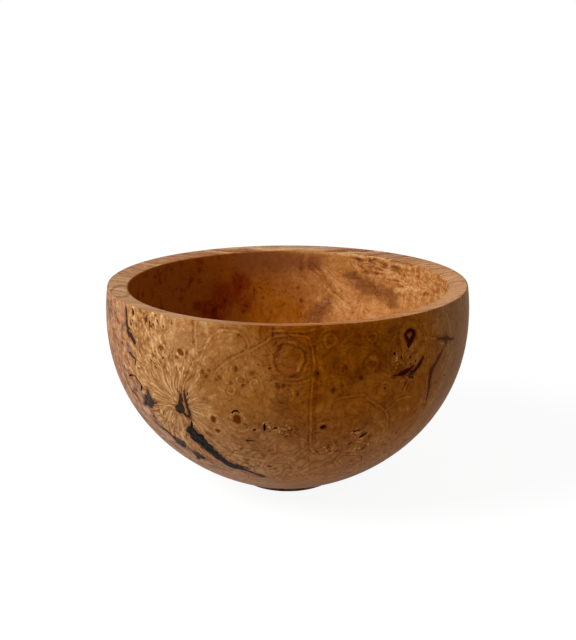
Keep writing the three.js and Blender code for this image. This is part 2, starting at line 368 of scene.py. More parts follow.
# %% [markdown]
# ### A slab along each stroke
# A grid is laid along the stroke, pushed onto the wall, and given its depth with Solidify. The same grid,
# standing a little proud, is the tool that cuts the pocket. Both edges waver by chance, with the same
# seeds for the fill and its pocket, because no crack has a clean edge.

# %% Lay a slab along each stroke
WAVERING = 0.30
RAGGED = 0.17
RAGGED_SIZE = 0.6
LEFT_WAVE, RIGHT_WAVE = 1.3, 1.5
KNOTS = 400
FILL_STEP = 0.42
FILL_COLUMNS = 6
FILL_DEPTH = 3.2
CUTTER_PROUD = 1.0
CRACK_SEED = 40
STROKE_SEED = 10


def wander(places, seed, size):
    """A smooth random line, between -1 and 1, that changes over about size millimetres."""
    chance = np.random.default_rng(seed)
    knots = chance.uniform(-1, 1, KNOTS)
    at = np.arange(len(places)) * FILL_STEP / size
    low = at.astype(int)
    share = at - low
    share = share * share * (3 - 2 * share)
    return knots[low] * (1 - share) + knots[low + 1] * share


def ragged_side(path, seed, size):
    """How far a stroke reaches to one side of its middle, all along it."""
    wavering = 1 + WAVERING * wander(path, seed, size)
    return path[:, 2] / 2 * wavering + RAGGED * wander(path, seed + 1, RAGGED_SIZE)


def stroke_slab(name, stroke, seed, proud=0.0, depth=FILL_DEPTH):
    """A slab that follows a stroke along the outside of the wall, from a little proud of it inwards."""
    path = smooth_path(stroke, FILL_STEP)
    places = [on_outside(turn, height) for turn, height, width in path]
    rows, columns = len(path), FILL_COLUMNS
    left, right = ragged_side(path, seed, LEFT_WAVE), ragged_side(path, seed + 2, RIGHT_WAVE)
    bpy.ops.object.select_all(action="DESELECT")
    bpy.ops.mesh.primitive_grid_add(x_subdivisions=columns, y_subdivisions=rows - 1, size=1)
    slab = bpy.context.active_object
    slab.name = slab.data.name = name
    for vertex in slab.data.vertices:
        across, row = vertex.co.x + 0.5, round((vertex.co.y + 0.5) * (rows - 1))
        point, out = places[row]
        along = (places[min(row + 1, rows - 1)][0] - places[max(row - 1, 0)][0]).normalized()
        side = along.cross(out).normalized()
        reach = -left[row] + (left[row] + right[row]) * across
        spot = point + side * reach
        surface, out = on_outside(math.degrees(math.atan2(spot.x, -spot.y)), spot.z)
        vertex.co = (surface + out * proud) * MM
    return applied(slab, "SOLIDIFY", thickness=(depth + proud) * MM, offset=-1)


fills, cutters = [], []
for number, (node, strokes) in enumerate(CRACKS.items()):
    slabs = []
    for part, stroke in enumerate(strokes):
        seed = CRACK_SEED * number + STROKE_SEED * part
        slabs.append(stroke_slab("slab", stroke, seed))
        cutters.append(stroke_slab("cutter", stroke, seed, proud=CUTTER_PROUD))
    fills.append((node, slabs))
print(sum(len(slabs) for node, slabs in fills), "strokes laid out")

# %% [markdown]
# ## Open pits and hairline checks
# Burl is full of tiny buds, and some of them leave an open hole when the tool passes. Checks are
# hairline splits that no resin reached. They catch real shadows, so both are cut as real hollows.

# %% Mark out the pits and the checks
# Each pit is (turn, height, length, width, tilt of its length from level, depth).
PITS = [
    (-6.9, 47.0, 4.2, 1.05, 84, 1.3), (-11.9, 40.1, 4.2, 1.1, 3, 1.0), (-10.1, 45.7, 1.6, 1.3, 30, 0.9),
    (-3.6, 46.8, 1.5, 1.2, 0, 0.9), (0.3, 45.6, 1.1, 0.9, 0, 0.7), (1.3, 46.2, 1.1, 0.8, 80, 0.7),
    (-8.2, 48.0, 0.9, 0.6, 60, 0.5), (-5.4, 45.2, 0.9, 0.6, 120, 0.5), (2.2, 45.0, 0.9, 0.6, 40, 0.5),
    (-2.0, 44.2, 0.9, 0.6, 150, 0.5), (-12.2, 46.6, 0.9, 0.6, 10, 0.5),
    (-0.3, 42.8, 1.3, 0.8, 40, 0.5), (10.8, 46.9, 2.1, 1.7, 160, 1.1), (21.5, 43.3, 1.8, 1.0, 25, 0.9),
    (22.5, 43.6, 1.9, 0.9, 175, 0.8), (24.9, 40.7, 4.2, 1.5, 38, 1.1), (20.9, 37.5, 2.0, 1.0, 35, 0.9),
    (27.4, 39.6, 1.3, 0.7, 60, 0.6), (23.6, 38.6, 1.1, 0.6, 20, 0.5), (28.8, 36.4, 1.2, 0.6, 110, 0.5),
    (33.1, 36.9, 1.1, 0.9, 0, 0.7), (39.6, 38.0, 1.3, 1.0, 30, 0.6), (31.5, 74.0, 1.5, 1.1, 110, 0.9),
    (34.0, 72.0, 1.5, 1.0, 100, 0.9), (37.2, 71.4, 1.5, 0.9, 95, 0.9), (39.6, 69.3, 1.2, 0.8, 60, 0.7),
    (37.6, 68.7, 1.0, 0.8, 130, 0.8), (29.1, 60.7, 1.0, 0.9, 0, 0.9), (39.1, 62.7, 1.5, 1.2, 100, 0.8),
    (48.0, 48.2, 1.6, 0.6, 80, 0.8), (55.9, 58.4, 1.1, 0.9, 0, 0.6), (8.4, 69.4, 1.6, 0.8, 95, 0.5),
    (-38.1, 70.8, 1.5, 0.9, 175, 0.7), (-41.5, 66.2, 1.5, 1.0, 120, 0.7),
    (-49.7, 42.5, 1.2, 0.8, 150, 0.7), (-61.4, 83.2, 1.1, 0.6, 150, 0.6), (-58.8, 70.8, 1.4, 1.0, 80, 0.9),
    (-54.0, 78.6, 1.1, 0.5, 30, 0.6), (-53.0, 78.0, 0.9, 0.5, 60, 0.6),
    (-53.9, 75.7, 1.0, 0.5, 20, 0.6), (-45.1, 83.6, 1.9, 0.9, 95, 0.7), (-43.5, 83.4, 1.6, 0.8, 85, 0.7),
    (-42.8, 81.9, 1.5, 0.8, 120, 0.6), (-42.0, 82.8, 1.6, 0.7, 100, 0.6), (-40.3, 84.4, 2.6, 1.0, 130, 0.7),
    (-38.0, 83.0, 1.4, 0.8, 130, 0.6), (-4.9, 71.6, 0.8, 0.7, 0, 0.4), (-52.6, 80.2, 1.6, 1.0, 70, 0.7),
    (-53.4, 78.2, 1.6, 1.1, 120, 0.7), (-51.9, 81.8, 1.3, 0.8, 100, 0.6), (-41.0, 86.2, 1.8, 0.9, 5, 0.5),
    (-11.4, 19.6, 1.8, 0.9, 165, 0.7), (-6.3, 26.7, 1.7, 0.6, 160, 0.4),
]
# Each check is a stroke of (turn, height, width).
CHECKS = [
    [(-57.6, 57.5, 0.6), (-54.4, 59.0, 0.8), (-52.3, 58.0, 1.1), (-51.0, 56.8, 1.2), (-50.4, 55.4, 1.2),
     (-51.2, 54.0, 1.0), (-51.6, 53.0, 0.6)],
    [(-54.5, 68.5, 0.9), (-52.9, 67.4, 1.1), (-51.3, 66.7, 1.1), (-51.3, 65.2, 0.6), (-51.9, 63.4, 0.4)],
    [(-52.4, 86.6, 0.9), (-51.9, 85.2, 1.3), (-51.7, 83.3, 0.8)],
    [(-32.9, 48.3, 0.8), (-32.0, 47.4, 0.9), (-31.4, 46.2, 0.9), (-31.4, 44.8, 0.9), (-31.9, 43.2, 1.0)],
    [(-16.6, 52.3, 0.6), (-15.9, 53.2, 1.0), (-15.2, 53.6, 1.3), (-14.5, 53.3, 0.9), (-14.1, 52.7, 0.5)],
    [(-33.8, 58.0, 0.5), (-34.2, 59.4, 0.4)],
    [(-32.5, 58.6, 0.5), (-32.4, 60.8, 0.4)],
    [(-30.7, 57.4, 0.5), (-29.9, 58.8, 0.4)],
    [(-35.2, 56.2, 0.5), (-36.2, 57.2, 0.4)],
    [(-50.6, 42.2, 1.0), (-49.6, 41.8, 1.4), (-48.7, 41.5, 0.8)],
    [(-53.2, 82.0, 0.5), (-53.0, 80.6, 0.7), (-52.4, 79.4, 0.4)],
    [(-54.6, 76.6, 0.4), (-54.0, 75.4, 0.6), (-54.1, 74.2, 0.4)],
    [(-49.4, 37.0, 0.5), (-47.6, 37.0, 0.7), (-45.6, 36.8, 0.5), (-44.4, 36.0, 0.4)],
]
print(len(PITS), "pits and", len(CHECKS), "checks")

# %% [markdown]
# ### Tools for the pits and the checks
# A pit is cut by a lumpy ball that is half sunk in the wall and turned to the pit's own slant, a check by
# a thin slab that follows it, as for the cracks.

# %% Make the tools for the pits and the checks
CHECK_DEPTH = 0.8
CHECK_SEED = 900
LUMPS = 9
LUMP_SIZES = (-0.28, 0.22)


def pit_tool(number, turn, height, length, width, tilt, depth):
    """A lumpy ball, half sunk in the wall, that cuts one pit."""
    point, out = on_outside(turn, height)
    level, upward = along_surface(out)
    tilt = math.radians(tilt)
    long_way = level * math.cos(tilt) + upward * math.sin(tilt)
    wide_way = out.cross(long_way)
    bpy.ops.object.select_all(action="DESELECT")
    bpy.ops.mesh.primitive_ico_sphere_add(subdivisions=3, radius=1)
    tool = bpy.context.active_object
    tool.name = "pit_tool"
    chance = random.Random(number)
    lumps = [(Vector((chance.gauss(0, 1), chance.gauss(0, 1), chance.gauss(0, 1))).normalized(),
              chance.uniform(*LUMP_SIZES)) for lump in range(LUMPS)]
    for vertex in tool.data.vertices:
        ball = vertex.co.normalized()
        swell = 1 + sum(size * max(0, ball.dot(way)) ** 4 for way, size in lumps)
        spot = (long_way * (ball.x * length / 2) + wide_way * (ball.y * width / 2)
                + out * (ball.z * depth)) * swell
        vertex.co = (point + spot) * MM
    return tool


for number, pit in enumerate(PITS):
    cutters.append(pit_tool(number, *pit))
for number, check in enumerate(CHECKS):
    cutters.append(stroke_slab("check_tool", check, CHECK_SEED + number, CUTTER_PROUD, CHECK_DEPTH))
print(len(cutters), "cutting tools in all")

# %% [markdown]
# ## Cutting
# All the cutting tools go into one collection, so a single Boolean takes the lot out of the bowl.
# The strokes of one fill are united in the same way, because each fill is one piece of resin.


# %% Cut the pockets and unite the fills
def boolean(piece, tools, operation):
    """Cuts a piece with several tools, or unites it with them, and removes them."""
    box = bpy.data.collections.new("tools")
    bpy.context.scene.collection.children.link(box)
    for tool in tools:
        box.objects.link(tool)
    applied(piece, "BOOLEAN", operation=operation, operand_type="COLLECTION", collection=box,
            solver="MANIFOLD")
    for tool in tools:
        bpy.data.objects.remove(tool)
    bpy.data.collections.remove(box)
    return piece


boolean(bowl, cutters, "DIFFERENCE")
fill_pieces = {}
for node, slabs in fills:
    whole = boolean(slabs[0], slabs[1:], "UNION") if len(slabs) > 1 else slabs[0]
    whole.name = whole.data.name = node.replace("_fill", "_resin")
    fill_pieces[node] = whole
print("the bowl has", len(bowl.data.polygons), "faces after cutting")

# %% [markdown]
# ## Marks that follow the wood
# The pale and dark lines on the outside are the edges of growth layers, met end on by the cut. Each is drawn
# as a stroke again, where the photograph shows it.

# %% Mark out the lines
# Each line is (strength, stations), and a station is (turn, height).
PALE_LINES = [
    (1.0, [(-19.7, 69.9), (-17.5, 72.6), (-15.4, 74.6), (-12.8, 76.5), (-9.6, 78.5), (-7.2, 80.3),
           (-5.4, 82.1), (-3.9, 83.4), (-2.0, 83.9), (2.0, 84.1), (5.1, 83.3), (6.3, 81.2),
           (7.0, 76.2), (7.3, 71.8), (6.9, 65.0), (6.7, 53.9), (7.6, 37.5), (9.6, 34.0)]),
    (0.8, [(-25.4, 71.0), (-24.1, 75.9), (-22.0, 81.5), (-19.9, 84.0), (-17.6, 85.0), (-14.4, 84.9),
           (-12.1, 83.3), (-10.9, 80.0), (-11.5, 75.9)]),
    (0.8, [(-26.9, 88.2), (-26.4, 80.1), (-26.2, 70.2)]),
    (0.9, [(15.3, 58.9), (18.3, 59.1), (20.8, 59.2), (22.6, 59.2), (24.8, 56.3), (27.0, 54.2), (29.4, 52.1),
           (31.3, 49.5), (32.6, 46.5), (33.3, 43.6)]),
    (0.6, [(32.3, 81.7), (30.2, 78.1), (29.3, 75.0), (29.2, 71.0), (30.0, 67.5)]),
    (0.8, [(40.2, 84.6), (42.8, 79.0), (44.2, 72.4), (45.2, 67.3), (45.8, 62.2), (45.9, 57.6)]),
    (0.9, [(36.5, 57.3), (36.8, 59.8), (38.0, 61.5)]),
    (0.9, [(44.4, 77.2), (46.8, 76.2), (49.3, 75.8)]),
    (1.0, [(46.8, 56.0), (47.7, 50.5), (48.2, 44.9)]),
    (0.8, [(-2.1, 69.5), (-1.0, 68.7), (0.6, 67.7), (2.6, 67.5), (4.2, 67.9), (5.3, 69.0)]),
    (0.8, [(-33.8, 47.6), (-32.9, 45.5), (-32.7, 44.0), (-34.5, 42.3), (-36.2, 40.4), (-36.8, 37.7)]),
]
CROSSING_LINES = [
    (0.8, [(-3.6, 85.5), (3.3, 85.3), (5.6, 85.4), (9.1, 86.6)]),
    (0.9, [(31.3, 50.8), (32.8, 52.3), (35.6, 54.6), (39.1, 54.5)]),
    (0.9, [(37.4, 61.8), (36.9, 59.6), (36.1, 57.7)]),
    (0.9, [(28.0, 66.9), (29.6, 65.5), (31.7, 65.1)]),
    (0.6, [(7.4, 38.5), (4.8, 35.6), (2.7, 32.9)]),
    (0.6, [(-7.3, 57.3), (-6.1, 61.9), (-4.3, 66.4), (-2.1, 66.4), (0.6, 65.8), (3.4, 66.0), (5.1, 66.7)]),
    (0.6, [(-14.4, 44.2), (-12.8, 44.9), (-12.0, 47.0), (-12.4, 49.4)]),
]
DARK_LINES = [
    (0.8, [(-4.3, 88.0), (-4.1, 84.6)]),
    (1.0, [(-27.9, 88.2), (-27.6, 84.0), (-27.4, 80.4)]),
    (0.6, [(-8.6, 69.7), (-7.3, 68.0), (-6.5, 65.4), (-6.3, 62.3), (-7.3, 56.8)]),
    (0.9, [(-20.8, 31.0), (-19.3, 33.1), (-16.2, 35.6), (-13.6, 36.4), (-11.0, 35.6)]),
    (0.5, [(1.0, 27.8), (1.0, 23.4), (2.2, 21.4), (5.0, 21.1), (11.6, 21.2)]),
    (0.6, [(8.4, 70.0), (8.0, 60.0), (8.2, 50.0), (9.0, 40.0)]),
    (0.5, [(-49.6, 66.6), (-48.4, 65.4), (-48.6, 63.8), (-50.0, 63.2)]),
]
BARK_EDGE = [(-69, 96), (-66, 91), (-58.5, 87.4), (-56.2, 86.0), (-55.1, 77.3), (-52.6, 72.0), (-53.0, 68.6),
             (-52.4, 63.9), (-52.6, 58.8), (-51.2, 54.5), (-50.3, 48.7), (-48.7, 43.3), (-46.5, 37.9),
             (-43.5, 33.0), (-37.9, 27.9), (-31.8, 26.1), (-25.6, 25.7), (-20.2, 22.1), (-11.4, 19.3),
             (-1.4, 13.4)]
print(len(PALE_LINES), "pale,", len(CROSSING_LINES), "crossing and", len(DARK_LINES), "dark lines")

# %% [markdown]
# ### The distance to the lines
# Every point of the mesh learns how far it lies to one side of the nearest line. A shader can colour that
# distance much more sharply than the mesh is fine, because a distance changes smoothly from point to
# point where a painted colour would not.

# %% Measure the distance to the lines
LINE_REACH = 6.0
LINE_STEP = 0.5


def gaps_to(points, spots, reach):
    """Which points lie in reach of these spots, and how far each of those is from every spot."""
    low, high = spots.min(0) - reach, spots.max(0) + reach
    near = np.flatnonzero(np.all((points > low) & (points < high), axis=1))
    return near, np.linalg.norm(points[near, None, :] - spots[None, :, :], axis=2)


def side_of_line(points, stations):
    """For points in millimetres: how far each lies to one side of a line, and how far from it at all."""
    path = smooth_path([(turn, height, 0) for turn, height in stations], LINE_STEP)
    places = [on_outside(turn, height) for turn, height, width in path]
    spots = np.array([place for place, out in places])
    outs = np.array([out for place, out in places])
    along = np.gradient(spots, axis=0)
    sides = np.cross(along, outs)
    sides /= np.linalg.norm(sides, axis=1, keepdims=True)
    beside = np.full(len(points), LINE_REACH)
    apart = np.full(len(points), LINE_REACH)
    near, gaps = gaps_to(points, spots, LINE_REACH)
    nearest = gaps.argmin(1)
    apart[near] = gaps.min(1)
    beside[near] = np.einsum("ij,ij->i", points[near] - spots[nearest], sides[nearest])
    return beside, apart


def mark_lines(piece, name, lines):
    """Stores (how far to one side, how far away, strength) of the nearest line on every point."""
    points = np.array([vertex.co for vertex in piece.data.vertices]) / MM
    marks = np.tile([LINE_REACH, LINE_REACH, 0.0], (len(points), 1))
    for strength, stations in lines:
        beside, apart = side_of_line(points, stations)
        closer = apart < marks[:, 1]
        marks[closer] = np.stack([beside, apart, np.full(len(points), strength)], 1)[closer]
    attribute = piece.data.attributes.new(name, "FLOAT_VECTOR", "POINT")
    attribute.data.foreach_set("vector", marks.ravel())
    return marks


LINES = {"pale_lines": PALE_LINES, "crossing_lines": CROSSING_LINES, "dark_lines": DARK_LINES}
for name, lines in LINES.items():
    marks = mark_lines(bowl, name, lines)
    print(name, "reach", int((marks[:, 1] < LINE_REACH).sum()), "points")

# %% [markdown]
# ## The bark side and the stain round the fills
# The burl grew on one side of the trunk, and the cut passes through its edge at the far left: there the
# bright curly wood gives way to pinkish growth layers. Resin and old bark also stain the wood next to them.
# Both are distances again, stored on the points.

# %% Measure the distance to the bark edge and to the fills
BACK_EDGE_TURN = -128
BARK_REACH = 12
STAIN_REACH = 8.0


def store(piece, name, values):
    attribute = piece.data.attributes.new(name, "FLOAT", "POINT")
    attribute.data.foreach_set("value", np.asarray(values, np.float32))


def beyond_bark(points):
    """How far each point lies beyond the edge of the burl, in millimetres."""
    turns = np.degrees(np.arctan2(points[:, 0], -points[:, 1]))
    heights = points[:, 2]
    radii = np.hypot(points[:, 0], points[:, 1])
    edge = np.array(BARK_EDGE[::-1], float)
    across = np.radians(np.interp(heights, edge[:, 1], edge[:, 0]) - turns) * radii
    down = np.interp(turns, edge[::-1, 0], edge[::-1, 1]) - heights
    apart = np.abs(across * down) / np.sqrt(across ** 2 + down ** 2 + 0.01)
    back = np.radians(turns - BACK_EDGE_TURN) * radii
    return np.clip(np.minimum(np.where(across > 0, apart, -apart), back), -BARK_REACH, BARK_REACH)


def from_fills(points):
    """How far each point lies from the edge of the nearest fill."""
    apart = np.full(len(points), STAIN_REACH)
    for strokes in CRACKS.values():
        for stroke in strokes:
            path = smooth_path(stroke, FILL_STEP)
            spots = np.array([on_outside(turn, height)[0] for turn, height, width in path])
            near, gaps = gaps_to(points, spots, STAIN_REACH)
            apart[near] = np.minimum(apart[near], (gaps - path[None, :, 2] / 2).min(1))
    return np.clip(apart, 0, STAIN_REACH)


bowl_points = np.array([vertex.co for vertex in bowl.data.vertices]) / MM
stain_distances = from_fills(bowl_points)
store(bowl, "beyond_bark", beyond_bark(bowl_points))
store(bowl, "from_fills", stain_distances)
print("stained points:", int((stain_distances < 1.0).sum()))

# %% [markdown]
# ## Writing a finish as sums
# A finish is a graph of nodes. Written out one by one the nodes hide the idea, so one small class wraps a
# socket: adding, multiplying or comparing two of them adds the Math node that does it, and every other
# kind of node comes from a single method. Sizes in it are the sizes of lumps and cells in millimetres.


# %% Wrap a socket so that sums make nodes
class Shade:
    """A value, colour or direction on its way through a finish."""

    def __init__(self, tree, socket=None):
        self.tree, self.socket = tree, socket

    def node(self, kind, sockets=None, output=0, **settings):
        """Adds a node: first its settings, then the values or links of its sockets."""
        made = self.tree.nodes.new(kind)
        for name, value in settings.items():
            setattr(made, name, value)
        for key, value in (sockets or {}).items():
            if isinstance(value, Shade):
                self.tree.links.new(value.socket, made.inputs[key])
            else:
                made.inputs[key].default_value = value
        return Shade(self.tree, made.outputs[output])

    def math(self, operation, *others):
        return self.node("ShaderNodeMath", dict(enumerate((self, *others))), operation=operation)

    def reflected(self, operation, other):
        """The same sum with the other value first, as in 1 - mask."""
        return self.node("ShaderNodeMath", {0: other, 1: self}, operation=operation)

    def __add__(self, other):
        return self.math("ADD", other)

    def __sub__(self, other):
        return self.math("SUBTRACT", other)

    def __rsub__(self, other):
        return self.reflected("SUBTRACT", other)

    def __mul__(self, other):
        return self.math("MULTIPLY", other)

    def __truediv__(self, other):
        return self.math("DIVIDE", other)

    def __rtruediv__(self, other):
        return self.reflected("DIVIDE", other)

    def __pow__(self, other):
        return self.math("POWER", other)

    def __rpow__(self, other):
        return self.reflected("POWER", other)

    __radd__, __rmul__ = __add__, __mul__

    def least(self, other):
        return self.math("MINIMUM", other)

    def most(self, other):
        return self.math("MAXIMUM", other)

    def size(self):
        return self.math("ABSOLUTE")

    def wave(self):
        return self.math("SINE")

    def rise(self, low, high, **ends):
        """0 below low, 1 above high, and smooth between them."""
        sockets = {"Value": self, "From Min": low, "From Max": high, **ends}
        return self.node("ShaderNodeMapRange", sockets, interpolation_type="SMOOTHSTEP")

    def fall(self, low, high):
        """1 below low, 0 above high, and smooth between them."""
        return self.rise(low, high, **{"To Min": 1.0, "To Max": 0.0})

    def ridge(self, centre, width):
        """1 where the value is at centre, falling to 0 at a width from it."""
        return (self - centre).size().fall(0.0, width)

    def vector(self, operation, *others, output=0):
        values = dict(enumerate((self, *others)))
        return self.node("ShaderNodeVectorMath", values, output, operation=operation)

    def stretched(self, across, deep, up):
        return self.vector("MULTIPLY", (across, deep, up))

    def distance(self, place):
        return self.vector("DISTANCE", tuple(place), output="Value")

    def parts(self):
        return [self.node("ShaderNodeSeparateXYZ", {0: self}, axis) for axis in "XYZ"]

    def gathered(self, *parts):
        return self.node("ShaderNodeCombineXYZ", dict(zip("XYZ", parts)))

    def noise(self, size, detail=2.0, roughness=0.5, output=0):
        """Cloudy noise whose lumps are about this size."""
        sockets = {"Vector": self, "Scale": 1 / size, "Detail": detail, "Roughness": roughness}
        return self.node("ShaderNodeTexNoise", sockets, output)

    def uneven(self, size, detail=2.0, roughness=0.5):
        """The same noise set about nought, so that it darkens as much as it pales."""
        return self.noise(size, detail, roughness) - 0.5

    def warped(self, size, reach):
        """A place moved about by noise, so that what is drawn there bends."""
        push = self.noise(size, detail=1.0, output="Color").vector("SUBTRACT", (0.5, 0.5, 0.5))
        return self.vector("ADD", push.vector("MULTIPLY", (reach, reach, reach)))

    def cells(self, size, output="Distance", **settings):
        return self.node("ShaderNodeTexVoronoi", {"Vector": self, "Scale": 1 / size}, output, **settings)

    def chips(self, size):
        """Soft-edged cells, each with a tone of its own, set about nought."""
        return self.cells(size, "Color", feature="SMOOTH_F1").parts()[0] - 0.5

    def stored(self, name, output="Fac"):
        """What was stored on the points of the piece under this name."""
        return self.node("ShaderNodeAttribute", output=output, attribute_name=name)

    def in_millimetres(self):
        """The place in the block of wood, in millimetres."""
        return self.node("ShaderNodeTexCoord", output="Object").vector("MULTIPLY", (1 / MM,) * 3)

    def between(self, first, second, blend="MIX"):
        """The first colour where this share is 0 and the second, or the two blended, where it is 1."""
        sockets = {0: self, 6: first, 7: second}
        return self.node("ShaderNodeMix", sockets, 2, data_type="RGBA", blend_type=blend)


print("a finish can now be written as sums")

# %% [markdown]
# ### Mixing and painting
# A painter mixes a few colours and lays them over each other, each where it is wanted. The colours are
# written as they are picked on a screen and made linear, since light is added up in linear values.


# %% Mix colours and lay them over each other
def srgb(red, green, blue):
    """A colour as it is mixed on a screen, 0 to 255, made linear."""
    parts = [part / 255 for part in (red, green, blue)]
    parts = [part / 12.92 if part < 0.04045 else ((part + 0.055) / 1.055) ** 2.4 for part in parts]
    return (*parts, 1)


def new_finish(name):
    """A material with a principled shader: gives the material, its shader node and a start for its sums."""
    finish = bpy.data.materials.new(name)
    finish.use_nodes = True
    shader = finish.node_tree.nodes["Principled BSDF"]
    return finish, shader, Shade(finish.node_tree)


def feed(shader, name, shade):
    shade.tree.links.new(shade.socket, shader.inputs[name])


def turn_of(x, y):
    """Degrees round the bowl from the front, as in the marking out."""
    return x.math("ARCTAN2", y * -1.0) * math.degrees(1)


def painted(colour, *coats):
    """A colour with coats of paint laid over it. Each coat is (share, paint)."""
    for share, paint in coats:
        colour = share.between(colour, paint)
    return colour


print("brushes and colours are ready")

# %% [markdown]
# ## The wood
# Burl grows round hundreds of dormant buds. The growth layers bulge over each bud like hills on a map, so a
# cut across them shows rings and curls, while a cut along them shows streaks. This bowl was cut with the
# layers standing upright and facing its front: the front and the back show curls, and the two sides, the
# rim and the underside show streaks. The finish therefore is a solid one, worked out in the block of wood
# and not painted on, and only the marks of this one bowl are laid on its outside afterwards. Everything
# adds up to one number, the tone: below nought the wood darkens, above nought it pales.

# %% Find the way about in the block
wood, wood_shader, start = new_finish("burl_wood")
place = start.in_millimetres()
facing = start.node("ShaderNodeTexCoord", output="Normal")
x, y, z = place.parts()
radius = (x * x + y * y) ** 0.5
turn = turn_of(x, y)

belly = HEIGHT - BELLY_DROP
down_share = ((z * -1.0 + belly) / CURVE_DEPTH).most(0.0).least(1.0)
shoulder_share = ((z - belly) / BELLY_DROP).most(0.0)
wall = (1 - down_share ** DEEP_POWER) ** (1 / ROUND_POWER) * BELLY_RADIUS
wall = wall - shoulder_share * shoulder_share * (BELLY_RADIUS - RIM_RADIUS)
depth = wall - radius
on_rim = z.rise(85.3, 86.0) * depth.rise(0.3, 0.9) * depth.fall(7.7, 8.3)
inside = depth.rise(7.0, 8.0) * z.rise(4.0, 6.0) * (1 - on_rim)
outside = (1 - inside) * (1 - on_rim)
in_pit = depth.rise(0.08, 0.45) * depth.fall(4.0, 5.0) * z.rise(3.0, 5.0) * z.fall(85.0, 86.0)
print("the finish knows the outside, the rim, the hollow and the pits apart")

# %% [markdown]
# ### Curls, grain and growth layers
# Noise that is pushed about by slower noise gives the curls of burl. The layers are stripes across Y, bent
# over the buds. How squarely the surface faces Y tells whether the cut runs across the layers or along them.

# %% Grow the figure of the wood
drifting = place.warped(17.0, 9.0)
curled = drifting.warped(4.5, 3.4)
crinkled = curled.warped(1.7, 1.1)
clouds = curled.uneven(17.0)
mottle = crinkled.uneven(3.0, 3.0, 0.55)
rolling = (drifting.noise(11.0) * 60.0).wave()
contours = rolling.rise(0.35, 1.0)
wisps = curled.noise(5.0).ridge(0.5, 0.035) * place.noise(6.0, 1.0).rise(0.42, 0.60)
threads = crinkled.noise(3.4, 1.0).ridge(0.5, 0.05)
grain = place.uneven(0.75, 2.0, 0.7)
chips = crinkled.chips(2.1)
crumbs = crinkled.noise(1.1, 1.0).rise(0.55, 0.64)

layer = y + (place.uneven(15.0, 1.5) * 13.0 + place.uneven(3.6) * 2.8)


def layered(size, **sockets):
    """Noise that is the same all over one growth layer, set about nought."""
    sockets = {"W": layer, "Scale": 1 / size, **sockets}
    return start.node("ShaderNodeTexNoise", sockets, noise_dimensions="1D") - 0.5


streaks = layered(0.9, Detail=3.0, Roughness=0.65)
bands = layered(4.5, Detail=1.0)
squarely = facing.parts()[1].size()
along = squarely.fall(0.50, 0.80) * (1 - inside * z.rise(34.0, 50.0) * 0.85)
figure = clouds * 0.8 + mottle * 1.3 - contours * 0.20 - wisps * 0.24 - threads * 0.18
figure = (figure + chips * 0.26) * (1 - along * 0.5) + grain * 0.8
figure = figure * (1 - inside * 0.35)
near_bottom = z.fall(28.0, 46.0) * (z.rise(8.0, 22.0) * y.fall(-25.0, 5.0) * 0.7 + 0.3) * outside
low_curls = rolling.fall(-1.0, -0.5) * 0.22 - contours * 0.32
figure = figure + low_curls * near_bottom * mottle.rise(-0.20, 0.05)
streaky = along * 0.75 + on_rim * (0.7 + x.rise(10.0, 50.0) * 0.5) + 0.12
figure = figure + (streaks * 1.7 + bands) * streaky
print("curls on the faces, streaks on the sides")

# %% [markdown]
# ### The bark side and the lively corner
# Beyond the bark edge the layers are pink and grey, drawn out in wavy lines with orange flecks between them.
# Just inside it the burl is at its most lively: pale chips and dark flecks crowd together.

# %% Tell the bark side from the lively corner
BARK_RUN = (0.83, -0.22, -0.52)  # the way that the layers run
BARK_DRAWN = 0.62
bark = start.stored("beyond_bark") * outside
bark = bark + place.uneven(5.0, 3.0, 0.6) * 9.0 * outside
bark = bark.least((x * -1.0 - 2.0 + drifting.uneven(18.0, 1.0) * 24.0) * 0.3)
in_bark = bark.rise(-2.0, 2.4) * (z.rise(12.0, 34.0) * 0.8 + 0.2) * outside
lively = turn.fall(-29.0, -20.0) * turn.rise(-70.0, -56.0) * z.rise(20.0, 34.0) * outside * (1 - in_bark)
calm = (turn + mottle * 20.0).rise(-38.0, -34.0) * z.rise(73.0, 79.0)
lively = lively * (1 - calm * 0.85)
run = place.vector("DOT_PRODUCT", BARK_RUN, output="Value") * BARK_DRAWN
drawn_out = start.gathered(*(run * part for part in BARK_RUN))
bark_flow = place.vector("SUBTRACT", drawn_out).warped(5.0, 4.0).warped(2.0, 1.6)
bark_lines = bark_flow.uneven(2.4, 2.0, 0.6)
bark_threads = bark_flow.noise(3.2, 1.0).ridge(0.5, 0.06)
bark_flecks = crinkled.stretched(1.0, 1.0, 0.5).noise(2.6, 1.0).rise(0.52, 0.62)
figure = figure * (1 - in_bark * 0.35) + (bark_lines * 2.2 - bark_threads * 0.55 - contours * 0.10) * in_bark
print("pink layers beyond the bark edge")

# %% [markdown]
# ### Rays round the knot
# At the forked crack lies a bud that the cut met at its root: rays run out from it like the ribs of a fan,
# fine and long near it, and broken into chips further out. The direction from the middle is fed to the
# noise, so each ray keeps its tone as it runs outwards.

# %% Spread the fan of rays
FAN_MIDDLE = (-33.5, 52.0)
middle, middle_out = on_outside(*FAN_MIDDLE)
level, upward = along_surface(middle_out)
from_middle = place.warped(9.0, 4.4).warped(2.6, 0.9).vector("SUBTRACT", tuple(middle))
to_right = from_middle.vector("DOT_PRODUCT", tuple(level), output="Value")
to_top = from_middle.vector("DOT_PRODUCT", tuple(upward), output="Value")
reach = (to_right * to_right + to_top * to_top) ** 0.5
ray_x = to_right / (reach + 0.5)
ray_y = to_top / (reach + 0.5)


def ray_place(per_turn, length):
    """A place for noise that is drawn out along the rays, in lumps of this length."""
    return start.gathered(ray_x * per_turn, ray_y * per_turn, reach / length)


